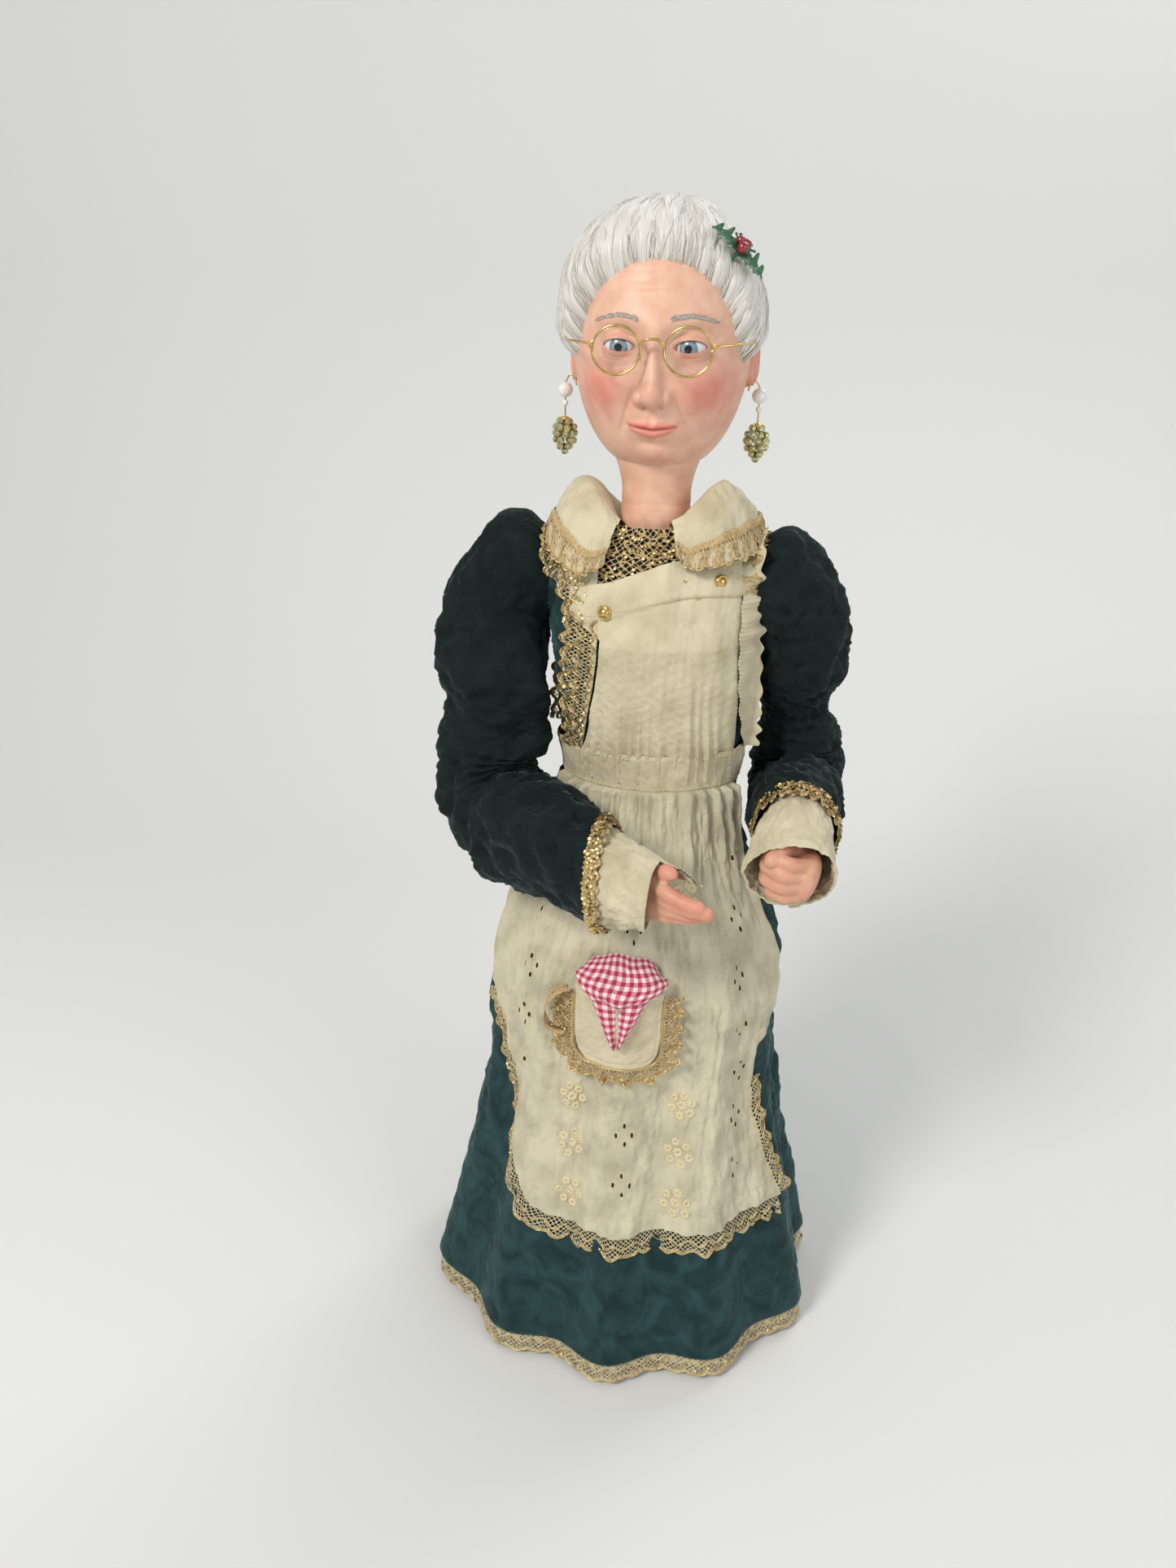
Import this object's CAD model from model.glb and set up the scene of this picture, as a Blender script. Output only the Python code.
# A standing display doll in a velvet dress and a lace-trimmed pinafore, dressed over its frame.
# Sizes are in millimetres unless they say metres, in the frame's own axes: +Z is up, the doll faces -Y.
import math
import random

import bpy
import numpy as np
from mathutils import Matrix, Vector


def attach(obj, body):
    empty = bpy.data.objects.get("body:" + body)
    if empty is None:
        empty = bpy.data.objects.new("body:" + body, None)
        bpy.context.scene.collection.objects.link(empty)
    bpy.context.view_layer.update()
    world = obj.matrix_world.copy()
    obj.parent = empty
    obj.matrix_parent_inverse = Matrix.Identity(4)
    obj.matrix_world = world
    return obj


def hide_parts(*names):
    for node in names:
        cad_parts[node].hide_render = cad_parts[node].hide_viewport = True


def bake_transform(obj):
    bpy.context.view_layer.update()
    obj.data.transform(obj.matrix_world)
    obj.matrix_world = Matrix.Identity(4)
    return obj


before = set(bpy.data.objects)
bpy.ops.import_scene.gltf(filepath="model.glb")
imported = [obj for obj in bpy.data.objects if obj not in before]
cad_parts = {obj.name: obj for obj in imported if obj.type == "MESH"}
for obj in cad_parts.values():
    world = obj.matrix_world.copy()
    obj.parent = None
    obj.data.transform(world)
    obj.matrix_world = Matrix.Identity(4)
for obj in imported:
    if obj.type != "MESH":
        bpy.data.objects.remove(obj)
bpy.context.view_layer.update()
MM = 0.001


# Table, backdrop, lamps and camera.
# The doll stands on a pale sheet that sweeps up behind it, in soft light from the front left.
# The camera stands a little above its eyes and looks down at it, as the picture was taken.
def plain_finish(name, colour, roughness, metallic=0.0):
    material = bpy.data.materials.new(name)
    material.use_nodes = True
    shader = material.node_tree.nodes["Principled BSDF"]
    shader.inputs["Base Color"].default_value = (*colour, 1.0)
    shader.inputs["Roughness"].default_value = roughness
    shader.inputs["Metallic"].default_value = metallic
    return material


def sweep_sheet():
    """A sheet of studio paper, in metres, that lies flat and then bends up behind the doll."""
    front, back, bend, top, half_wide, steps = -2.6, 0.5, 0.6, 3.2, 3.0, 16
    profile = [(front, 0.0), (back, 0.0)]
    for i in range(1, steps + 1):
        a = i / steps * math.pi / 2
        profile.append((back + bend * math.sin(a), bend * (1 - math.cos(a))))
    profile.append((back + bend, top))
    corners = [(x, y, z) for x in (-half_wide, half_wide) for y, z in profile]
    count = len(profile)
    faces = [(i, count + i, count + i + 1, i + 1) for i in range(count - 1)]
    mesh = bpy.data.meshes.new("paper_sweep")
    mesh.from_pydata(corners, [], faces)
    mesh.polygons.foreach_set("use_smooth", [True] * len(faces))
    sheet_object = bpy.data.objects.new("paper_sweep", mesh)
    bpy.context.scene.collection.objects.link(sheet_object)
    mesh.materials.append(plain_finish("studio_paper", (0.72, 0.72, 0.70), 0.9))


sweep_sheet()

scene = bpy.context.scene
scene.view_settings.view_transform = "Standard"
world = bpy.data.worlds.new("studio_air")
scene.world = world
world.use_nodes = True
world.node_tree.nodes["Background"].inputs["Color"].default_value = (0.92, 0.95, 1.0, 1.0)
world.node_tree.nodes["Background"].inputs["Strength"].default_value = 0.52


def softbox(name, place, target, size, watts, colour=(1.0, 1.0, 1.0)):
    lamp = bpy.data.lights.new(name, "AREA")
    lamp.shape = "DISK"
    lamp.size = size
    lamp.energy = watts
    lamp.color = colour
    stand = bpy.data.objects.new(name, lamp)
    scene.collection.objects.link(stand)
    stand.location = place
    stand.rotation_euler = (Vector(target) - Vector(place)).to_track_quat("-Z", "Y").to_euler()


softbox("key_softbox", (-0.85, -1.35, 1.55), (0.0, 0.0, 0.32), 0.55, 26.0, (1.0, 0.97, 0.92))
softbox("fill_softbox", (1.4, -1.2, 0.9), (0.0, 0.0, 0.3), 1.2, 9.0)
softbox("rim_softbox", (0.6, 1.0, 1.5), (0.0, 0.0, 0.35), 0.8, 9.0)

SENSOR_MM, FOCAL_PIXELS, PICTURE_HIGH_PIXELS = 36.0, 1448, 1927
EYE_PLACE = Vector((53.9, -581.9, 566.6)) * MM
LOOK = Vector((-0.13237, 0.91438, -0.38260)).normalized()
HEAD_UP = Vector((-0.07801, 0.37519, 0.92366))
side_way = LOOK.cross(HEAD_UP).normalized()
up_way = side_way.cross(LOOK)
camera = bpy.data.objects.new("camera", bpy.data.cameras.new("camera"))
scene.collection.objects.link(camera)
camera.data.sensor_width = SENSOR_MM
camera.data.lens = SENSOR_MM * FOCAL_PIXELS / PICTURE_HIGH_PIXELS
camera.data.clip_start = 0.02
camera.matrix_world = Matrix(
    (
        (side_way.x, up_way.x, -LOOK.x, EYE_PLACE.x),
        (side_way.y, up_way.y, -LOOK.y, EYE_PLACE.y),
        (side_way.z, up_way.z, -LOOK.z, EYE_PLACE.z),
        (0, 0, 0, 1),
    )
)
scene.camera = camera


# Base, post, cone, chest and arm bars.
# A wooden post stands in a weighted board and carries a moulded chest, with a thin cone under the skirt.
# They are plain workshop stock that the clothes cover: sanded wood, moulded plastic and bright wire.
def add_node(tree, kind, **inputs):
    made = tree.nodes.new("ShaderNode" + kind)
    for name, value in inputs.items():
        socket = made.inputs[name.replace("_", " ")]
        if isinstance(value, bpy.types.NodeSocket):
            tree.links.new(value, socket)
        else:
            socket.default_value = value
    return made


class Finish:
    """A material whose noises lie in the piece's own space."""

    def __init__(self, name, colour, roughness, metallic=0.0, **settings):
        self.material = plain_finish(name, colour, roughness, metallic)
        self.tree = self.material.node_tree
        self.shader = self.tree.nodes["Principled BSDF"]
        for setting, value in settings.items():
            self.shader.inputs[setting.replace("_", " ")].default_value = value
        self.place = self.node("TexCoord").outputs["Object"]

    def node(self, kind, **inputs):
        return add_node(self.tree, kind, **inputs)

    def noise(self, scale, detail, distortion=0.0, ridged=False, place=None):
        place = self.place if place is None else place
        grain = self.node("TexNoise", Vector=place, Scale=scale, Detail=detail, Distortion=distortion)
        if ridged:
            grain.noise_type = "RIDGED_MULTIFRACTAL"
        return grain.outputs["Fac"]

    def ramp(self, factor, stops):
        made = self.node("ValToRGB", Fac=factor)
        marks = made.color_ramp.elements
        while len(marks) < len(stops):
            marks.new(0.5)
        for mark, (position, colour) in zip(marks, stops):
            mark.position = position
            mark.color = (*colour, 1.0)
        return made.outputs["Color"]

    def paint(self, colour):
        self.tree.links.new(colour, self.shader.inputs["Base Color"])

    def tint(self, factor, *stops):
        self.paint(self.ramp(factor, stops))

    def bump(self, height, distance, strength=1.0):
        normal = self.shader.inputs["Normal"]
        below = normal.links
        made = self.node("Bump", Height=height, Distance=distance, Strength=strength)
        if below:
            self.tree.links.new(below[0].from_socket, made.inputs["Normal"])
        self.tree.links.new(made.outputs["Normal"], normal)


def speckled_finish(name, dark, light, roughness, size, metallic=0.0, grain=0.00005, **settings):
    finish = Finish(name, light, roughness, metallic, **settings)
    specks = finish.noise(1 / size, 5.0)
    finish.tint(specks, (0.3, dark), (0.7, light))
    finish.bump(specks, grain)
    return finish.material


def wood_finish():
    finish = Finish("sanded_wood", (0.5, 0.33, 0.18), 0.62)
    long_way = finish.node("Mapping", Vector=finish.place, Scale=(260.0, 18.0, 260.0)).outputs["Vector"]
    grain = finish.noise(1.0, 6.0, 0.8, place=long_way)
    finish.tint(grain, (0.32, (0.36, 0.21, 0.10)), (0.5, (0.50, 0.33, 0.18)), (0.66, (0.60, 0.42, 0.24)))
    finish.bump(grain, 0.0002)
    return finish.material


def repaint(finish, slot_name, *node_names):
    for node_name in node_names:
        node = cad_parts[node_name]
        node.data.materials.clear()
        node.data.materials.append(finish)


def each_arm(*endings):
    return [word + ending for ending in endings for word in ARM_WORDS]


ARM_WORDS = ("right", "left")
repaint(wood_finish(), "wood", "base_board", "body_post")
moulded = speckled_finish("moulded_plastic", (0.60, 0.57, 0.49), (0.69, 0.66, 0.59), 0.55, 0.004)
repaint(moulded, "form_plastic", "skirt_cone", "chest_form", *each_arm("_upper_arm_bar", "_forearm_bar"))
bright_steel = speckled_finish("bright_wire", (0.42, 0.42, 0.43), (0.62, 0.62, 0.63), 0.3, 0.0008, 1.0)
repaint(bright_steel, "steel", "shoulder_rod", *each_arm("_rod_cap", "_elbow_pin"))


# Petticoat.
# A cream cotton underskirt sewn to the cone, with a deep edge of openwork lace that shows under the velvet.
# A gilt thread runs along the scallops of the lace, and small gilt sequins are stitched over it.
HEM_Z, WAIST_Z = 16.0, 332.0
HEM_HALF = np.array([113.0, 98.0])
WAIST_HALF = np.array([37.0, 29.0])
APRON_REACH = math.radians(72)


def ease(value, low, high):
    share = np.clip((value - low) / (high - low), 0.0, 1.0)
    return share * share * (3 - 2 * share)


def ripple(points, size, seed, octaves=3):
    chance = np.random.default_rng(seed)
    total = np.zeros(points.shape[:-1])
    weight = 1.0
    for _ in range(octaves):
        for _ in range(10):
            way = chance.normal(size=3)
            way *= chance.uniform(0.7, 1.4) * math.tau / (size * np.linalg.norm(way))
            total += weight * np.sin(points @ way + chance.uniform(0, 6.3))
        weight *= 0.5
        size *= 0.47
    return total / 3.6


def bell(value, width):
    return np.exp(-((value / width) ** 2))


def xyz(x, y, z):
    return np.stack([x, y, z], -1)


def unit(vectors):
    return vectors / np.maximum(np.linalg.norm(vectors, axis=-1, keepdims=True), 1e-9)


def together(*values):
    return np.broadcast_arrays(*(np.asarray(value, float) for value in values))


def full_turn(count):
    """Angles all the way round, the last one short of the first by a step."""
    return np.arange(count) / count * math.tau


def body_turn(count):
    """Angles round the body from the middle of the back, 0 being the front."""
    return np.linspace(-math.pi, math.pi, count + 1)[:-1]


def outward(angle):
    return np.stack([np.sin(angle), -np.cos(angle), np.zeros_like(angle)], -1)


def hip_out(turned, z):
    """The waist stands out further on the wearer's left, where the figure leans."""
    middle_z, below, above = 340, 36.0, 42.0
    return 6.5 * np.clip(turned, 0, 1) * bell(z - middle_z, np.where(z < middle_z, below, above))


def skirt_point(angle, z, offset=0.0):
    angle, z, offset = together(angle, z, offset)
    up = (z - HEM_Z) / (WAIST_Z - HEM_Z)
    down = np.clip(1 - up, 0, None)
    behind = ease(np.abs(angle), APRON_REACH - 0.12, APRON_REACH + 0.25)
    full = 15 * bell(up - 0.7, 0.17)
    fold = 5 * down * np.cos(10 * angle + 0.7 * np.sin(2 * angle))
    fold = (
        fold + behind * (3.2 * down**0.7 * np.cos(17 * angle + 2.1 * np.sin(3 * angle) + 1.0) - 2.2 * down)
    )
    fold = fold + behind * 1.5 * np.exp(-down / 0.12) * np.cos(58 * angle + 3 * np.sin(5 * angle))
    half = [low + (high + 4.7 - low) * up + full + fold + offset for low, high in zip(HEM_HALF, WAIST_HALF)]
    half[0] = half[0] + hip_out(np.sin(angle), z)
    return xyz(np.sin(angle) * half[0], -np.cos(angle) * half[1], z)


class Work:
    """The growing mesh of one piece, in millimetres."""

    def __init__(self):
        self.points = []
        self.faces = []
        self.corners = []
        self.marks = []
        self.count = 0

    def lay(self, points, faces, corners=None, marks=None):
        points = np.asarray(points, float).reshape(-1, 3)
        faces = np.asarray(faces, int)
        if corners is None:
            corners = points[faces][..., :2]
        if marks is None:
            marks = np.zeros(len(points))
        self.points.append(points)
        self.faces += (faces + self.count).tolist()
        self.corners.append(np.asarray(corners, float).reshape(-1, 2))
        self.marks.append(np.asarray(marks, float).ravel())
        self.count += len(points)

    def grid(self, points, around=False, marks=None, turned=False):
        """A sheet of squares over rows of points, whose map is as long and wide as the cloth."""
        rows, columns = points.shape[:2]
        across = columns if around else columns - 1
        row, column = np.meshgrid(np.arange(rows - 1), np.arange(across), indexing="ij")
        after = (column + 1) % columns
        low, high = row * columns, (row + 1) * columns
        faces = np.stack([low + column, low + after, high + after, high + column], -1).reshape(-1, 4)
        closed = np.concatenate([points, points[:, :1]], 1) if around else points
        step_across = np.linalg.norm(np.diff(closed, axis=1), axis=-1).mean(0)
        step_up = np.linalg.norm(np.diff(points, axis=0), axis=-1).mean(1)
        u = np.concatenate([[0], np.cumsum(step_across)])
        v = np.concatenate([[0], np.cumsum(step_up)])
        left, right, near, far = u[column], u[column + 1], v[row], v[row + 1]
        corners = np.stack([left, near, right, near, right, far, left, far], -1).reshape(-1, 4, 2)
        if turned:
            faces, corners = faces[:, ::-1], corners[:, ::-1]
        self.lay(points, faces, corners, marks)

    def tube(self, path, radii, sides=8, flat=1.0, up=(0, 0, 1), grooves=0.0, ends=True):
        """A round run along a path: flat squashes it, and grooves are shares of its radius."""
        path = np.asarray(path, float)
        along = unit(np.gradient(path, axis=0))
        across = unit(np.cross(along, np.broadcast_to(np.asarray(up, float), path.shape)))
        other = np.cross(across, along)
        turn = full_turn(sides)
        radii = np.broadcast_to(np.asarray(radii, float), (len(path),))
        ring = radii[:, None] * np.broadcast_to(1 + grooves, (len(path), sides))
        body = path[:, None] + across[:, None] * (np.cos(turn) * ring)[..., None]
        body = body + other[:, None] * (np.sin(turn) * ring * flat)[..., None]
        self.grid(body, around=True)
        if ends:
            for rim, order in ((body[0], 1), (body[-1], -1)):
                self.lay(rim, [[0, k, k + 1][::-order] for k in range(1, sides - 1)])

    def bead(self, middle, radius, sides=8, rings=5, squash_by=(1, 1, 1)):
        polar = np.linspace(0.04, math.pi - 0.04, rings + 1)[:, None]
        turn = full_turn(sides)
        ball = xyz(
            np.sin(polar) * np.cos(turn), np.sin(polar) * np.sin(turn), -np.cos(polar) * np.ones(sides)
        )
        self.grid(np.asarray(middle) + ball * radius * np.asarray(squash_by), around=True)

    def make(self, name, finish, body, slot_name, stands_for=()):
        mesh = bpy.data.meshes.new(name)
        mesh.from_pydata((np.concatenate(self.points) * MM).tolist(), [], self.faces)
        mesh.polygons.foreach_set("use_smooth", [True] * len(mesh.polygons))
        sheet_map = mesh.uv_layers.new(name="cloth")
        sheet_map.data.foreach_set("uv", np.concatenate(self.corners).ravel())
        marks = np.concatenate(self.marks)
        if marks.any():
            mesh.attributes.new("mark", "FLOAT", "POINT").data.foreach_set("value", marks)
        mesh.materials.append(finish)
        made = bpy.data.objects.new(name, mesh)
        scene.collection.objects.link(made)
        if body:
            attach(made, body)
        if stands_for:
            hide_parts(*stands_for)
        return made


def openwork(length, width, step, thread):
    """A flat lace: thread(u, v) is above 0 where there is thread, and the lace is cut along that line."""
    columns, rows = max(2, round(length / step)), max(2, round(width / step))
    u, v = np.meshgrid(np.linspace(0, length, columns + 1), np.linspace(0, width, rows + 1), indexing="ij")
    spots = xyz(u, v, thread(u, v)).reshape(-1, 3)
    index = np.arange((columns + 1) * (rows + 1)).reshape(columns + 1, rows + 1)
    a, b, c, d = index[:-1, :-1], index[1:, :-1], index[1:, 1:], index[:-1, 1:]
    halves = ((a, b, c), (a, c, d))
    triangles = np.concatenate([np.stack(half, -1).reshape(-1, 3) for half in halves])
    full = spots[:, 2][triangles] > 0
    held = full.sum(1)
    cut = [spots[triangles[held == 3]].reshape(-1, 3, 3)]
    for number in (1, 2):
        chosen = triangles[held == number]
        first = np.argmax(full[held == number] == (number == 1), axis=1)
        lone, second, third = (spots[chosen[np.arange(len(chosen)), (first + k) % 3]] for k in range(3))
        near, far = (
            lone + (other - lone) * (lone[:, 2] / (lone[:, 2] - other[:, 2]))[:, None]
            for other in (second, third)
        )
        if number == 1:
            cut.append(np.stack([lone, near, far], 1))
        else:
            cut += [np.stack([near, second, third], 1), np.stack([near, third, far], 1)]
    corners = np.concatenate(cut).reshape(-1, 3)
    keys = np.round(corners[:, :2] * 2000).astype(np.int64)
    keys = keys[:, 0] * 10**8 + keys[:, 1]
    _, first_seen, faces = np.unique(keys, return_index=True, return_inverse=True)
    faces = faces.reshape(-1, 3)
    good = (faces != np.roll(faces, 1, axis=1)).all(1)
    return corners[first_seen], faces[good]


def net(u, v, pitch, cord):
    a = np.abs(((u + v) / pitch) % 1 - 0.5) * pitch * 0.7071
    b = np.abs(((u - v) / pitch) % 1 - 0.5) * pitch * 0.7071
    return cord / 2 - np.minimum(a, b)


def near_line(distance, width):
    return width / 2 - np.abs(distance)


def dots(u, v, pitch_u, pitch_v, radius):
    return radius - np.hypot(((u / pitch_u) % 1 - 0.5) * pitch_u, ((v / pitch_v) % 1 - 0.5) * pitch_v)


def cotton_finish(name, dark, light, crackle=0.0004):
    finish = Finish(name, light, 0.88, Sheen_Weight=0.12, Sheen_Roughness=0.5)
    finish.tint(finish.noise(55.0, 4.0), (0.28, dark), (0.62, light))
    finish.bump(finish.noise(330.0, 3.0, 1.6, ridged=True), crackle, 0.8)
    finish.bump(finish.noise(2600.0, 1.0), 0.0001, 0.6)
    return finish.material


def thread_finish(name, dark, light):
    finish = Finish(name, light, 0.8)
    twist = finish.noise(1500.0, 2.0)
    finish.tint(twist, (0.35, dark), (0.65, light))
    finish.bump(twist, 0.0002)
    return finish.material


CREAM_DARK, CREAM_LIGHT = (0.45, 0.39, 0.245), (0.60, 0.54, 0.37)
cream_cotton = cotton_finish("cream_cotton", CREAM_DARK, CREAM_LIGHT)
cream_thread = thread_finish("cream_thread", (0.38, 0.30, 0.16), (0.60, 0.52, 0.33))
gilt_thread = speckled_finish(
    "gilt_thread", (0.40, 0.28, 0.10), (0.76, 0.60, 0.30), 0.36, 0.0006, 0.8, 0.0001
)


def lay_lace(work, length, width, step, thread, carry):
    """Cuts a flat lace and lays it on a surface: carry(u, v, lift) gives the place of each of its points."""
    spots, faces = openwork(length, width, step, thread)
    thick, full_at = 0.35, 0.5
    lift = thick * np.sqrt(np.clip(spots[:, 2], 0, full_at) / full_at)
    work.lay(carry(spots[:, 0], spots[:, 1], lift), faces, spots[faces][..., :2])


def sew_sequins(work, places, outward_ways, radius, seed):
    """Small cupped gilt discs, each stitched at its own slight tilt."""
    chance = np.random.default_rng(seed)
    sides = 7
    turn = full_turn(sides)[:, None]
    for place, out in zip(places, outward_ways):
        out = unit(np.asarray(out) + chance.normal(scale=0.28, size=3))
        across = unit(np.cross(out, (0.3, 0.2, 0.9)))
        other = np.cross(out, across)
        size = radius * chance.uniform(0.8, 1.15)
        rim = place + out * size * 0.35 + size * (np.cos(turn) * across + np.sin(turn) * other)
        work.lay(np.concatenate([[place], rim]), [[0, 1 + k, 1 + (k + 1) % sides] for k in range(sides)])


def sequin_row(work, carry, u, v, lift, radius, seed):
    """Sequins at places on a lace, each facing away from the cloth under it."""
    spots = carry(u, v, lift + 0 * v)
    sew_sequins(work, spots, unit(spots - carry(u, v, 0 * v)), radius, seed)


PETTICOAT_Z, PETTICOAT_TOP_Z = 3.5, 170.0


def petticoat_point(angle, z, offset=0.0):
    below = np.clip(HEM_Z - z, 0, None) / (HEM_Z - PETTICOAT_Z)
    spread = 1 - ease(z, HEM_Z + 30, PETTICOAT_TOP_Z)
    outer = skirt_point(angle, np.maximum(z, HEM_Z), -3.6 + 2.2 * below + offset)
    cone = 80.1 - 50 * (z - 12) / 314
    seat = xyz(np.sin(angle) * cone, -np.cos(angle) * cone, z)
    face = seat + (outer - seat) * spread[..., None]
    face[..., 2] = z
    return face


def make_petticoat():
    turn, z = np.meshgrid(body_turn(320), np.linspace(9.0, PETTICOAT_TOP_Z, 26))
    face = petticoat_point(turn, z, -0.5)
    face += 0.5 * ripple(face, 9.0, 5)[..., None] * outward(turn)
    work = Work()
    work.grid(face, around=True)
    skirt = work.make("petticoat_cotton", cream_cotton, "torso", "cotton", ("petticoat",))
    lap = math.tau * 105.5
    deep, scallops, meshes = 17.0, 60, 240

    def scallop_edge(u):
        return 2.2 - 1.7 * np.abs(np.sin(math.pi * scallops * u / lap))

    def thread(u, v):
        edge = scallop_edge(u)
        solid = np.maximum(net(u, v, lap / meshes, 0.62), near_line(v - edge - 0.9, 1.7))
        solid = np.maximum(solid, near_line(v - 8.5 - 1.6 * np.sin(math.tau * scallops * u / lap), 1.0))
        solid = np.maximum(solid, dots(u, v - edge - 4.4, lap / scallops, 9.0, 1.5))
        return np.minimum(solid, v - edge)

    def carry(u, v, lift):
        return petticoat_point(math.tau * u / lap - math.pi, PETTICOAT_Z - 0.4 + v, 0.5 + lift)

    lace, gilt = Work(), Work()
    lay_lace(lace, lap, deep, 0.45, thread, carry)
    hem = lace.make("petticoat_lace", cream_thread, "torso", "lace")
    along = np.linspace(0, lap, 1600, endpoint=False)
    run = carry(along, scallop_edge(along) + 0.3, 0.3)
    gilt.tube(np.concatenate([run, run[:1]]), 0.42, 5)
    at = np.linspace(0, lap, 300, endpoint=False)
    out = outward(math.tau * at / lap - math.pi) + np.array([0, 0, 0.2])
    height = 5.4 + 2.6 * np.sin(at * math.tau * scallops / lap + 0.8) + 1.2 * np.sin(at * 1.7)
    sew_sequins(gilt, carry(at, height, 0.6), out, 1.15, 11)
    trim = gilt.make("petticoat_gilt", gilt_thread, "torso", "lace")


make_petticoat()


# Velvet dress: skirt and bodice.
# Bottle green cotton velvet, gathered into the waist and hanging in soft folds over the petticoat.
# The pile is crushed here and there, and the bodice is cut close, with a seam down its back.
def velvet_finish(name, deep, lit, bloom=0.5):
    tint = (0.36, 0.55, 0.55, 1.0)
    sheen = {"Sheen_Weight": bloom, "Sheen_Roughness": 0.32, "Sheen_Tint": tint}
    finish = Finish(name, lit, 0.85, **sheen, Specular_IOR_Level=0.25)
    finish.tint(finish.noise(48.0, 5.0, 1.4), (0.36, deep), (0.66, lit))
    finish.bump(finish.noise(150.0, 4.0, 2.2, ridged=True), 0.0012, 0.6)
    finish.bump(finish.noise(900.0, 2.0), 0.0004, 0.7)
    return finish.material


velvet = velvet_finish("green_velvet", (0.006, 0.024, 0.024), (0.020, 0.058, 0.060))
dark_velvet = velvet_finish("sleeve_velvet", (0.0015, 0.005, 0.005), (0.004, 0.012, 0.011), 0.17)
TRUNK_ROWS = np.array(
    [
        [326.3, 37.0, 29.0, 0.0, 0.0],
        [338.0, 37.0, 29.0, 0.0, 0.0],
        [372.0, 43.6, 33.2, -2.0, 0.0],
        [412.0, 48.0, 36.0, -4.0, 0.0],
        [440.0, 48.5, 29.0, 0.5, 0.2],
        [451.8, 40.0, 24.0, 2.0, 0.5],
        [459.5, 28.5, 22.5, 2.0, 0.75],
        [463.0, 22.0, 20.0, 2.0, 1.0],
    ]
)
SHOULDER_Y, SHOULDER_Z, ARMHOLE = 5.0, 432.0, 19.2


def trunk_size(z, column):
    return np.interp(z, TRUNK_ROWS[:, 0], TRUNK_ROWS[:, column])


def trunk_point(angle, z, offset=0.0):
    angle, z, offset = together(angle, z, offset)
    half_width, half_depth, middle, lift = (trunk_size(z, column) for column in (1, 2, 3, 4))
    half_width = half_width + hip_out(np.sin(angle), z)
    x = np.sin(angle) * (half_width + offset)
    return xyz(x, middle - np.cos(angle) * (half_depth + offset), z + lift * offset)


def trunk_angle(x, z, offset=0.0):
    half_width = trunk_size(z, 1) + offset
    extra = hip_out(1.0, z) * (x > 0)
    turned = 2 * x / (half_width + np.sqrt(half_width**2 + 4 * extra * np.abs(x)))
    return np.arcsin(np.clip(turned, -1, 1))


def make_velvet_skirt():
    turn, z = np.meshgrid(body_turn(480), np.linspace(HEM_Z + 0.6, WAIST_Z, 190))
    face = skirt_point(turn, z, -0.4)
    behind = ease(np.abs(turn), APRON_REACH - 0.3, APRON_REACH + 0.15)
    soft = ripple(face * (1, 1, 0.45), 26.0, 21) * 1.5
    sharp = (0.6 - np.abs(ripple(face * (1, 1, 0.7), 15.0, 22, 2))) * 1.6
    face += (behind * (soft + sharp) * (0.35 + ease(z, 30, 200) * 0.65))[..., None] * outward(turn)
    turned_under = skirt_point(turn[0], HEM_Z + 0.1, -2.4)
    work = Work()
    work.grid(np.concatenate([turned_under[None], face]), around=True)
    skirt = work.make("velvet_skirt_cloth", velvet, "torso", "velvet", ("velvet_skirt",))


def make_bodice():
    turn, z = np.meshgrid(body_turn(240), np.linspace(WAIST_Z + 0.5, 462.6, 110))
    face = trunk_point(turn, z, 2.5)
    tuck = 0.7 * np.exp(-((z - WAIST_Z) / 24)) * np.cos(46 * turn + 2 * np.sin(3 * turn))
    back_seam = -0.9 * bell(np.abs(turn) - math.pi, 0.022)
    rumple = 0.55 * ripple(face * (1, 1, 2.0), 14.0, 31)
    rumple = rumple + 0.5 * (0.5 - np.abs(ripple(face * (1, 1, 2.2), 9.0, 32, 2)))
    face += (tuck + back_seam + rumple * ease(460 - z, 0, 20))[..., None] * outward(turn)
    collar_turn = trunk_point(turn[0], 463.0, 0.2)
    bodice = Work()
    bodice.grid(np.concatenate([face, collar_turn[None]]), around=True)
    for side in (-1, 1):
        round_arm, reach = np.meshgrid(full_turn(48), np.linspace(40.0, 51.5, 7))
        y = SHOULDER_Y + ARMHOLE * np.cos(round_arm)
        z = SHOULDER_Z + ARMHOLE * np.sin(round_arm)
        bodice.grid(xyz(side * reach, y, z), around=True, turned=side < 0)
    close_fit = bodice.make("bodice_cloth", velvet, "torso", "velvet", ("bodice",))


make_velvet_skirt()
make_bodice()


# Apron skirt with its lace and embroidery.
# Cream cotton gathered into the waistband, with flowers worked in thread and groups of four small eyelets.
# Its foot and both sides are edged with net lace, which has a gilt scalloped edge.
APRON_HEM_Z, APRON_TOP_Z, APRON_LACE = 95.0, 334.7, 15.5
CORNER_WIDE, CORNER_HIGH = 32.0, 38.0


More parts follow.
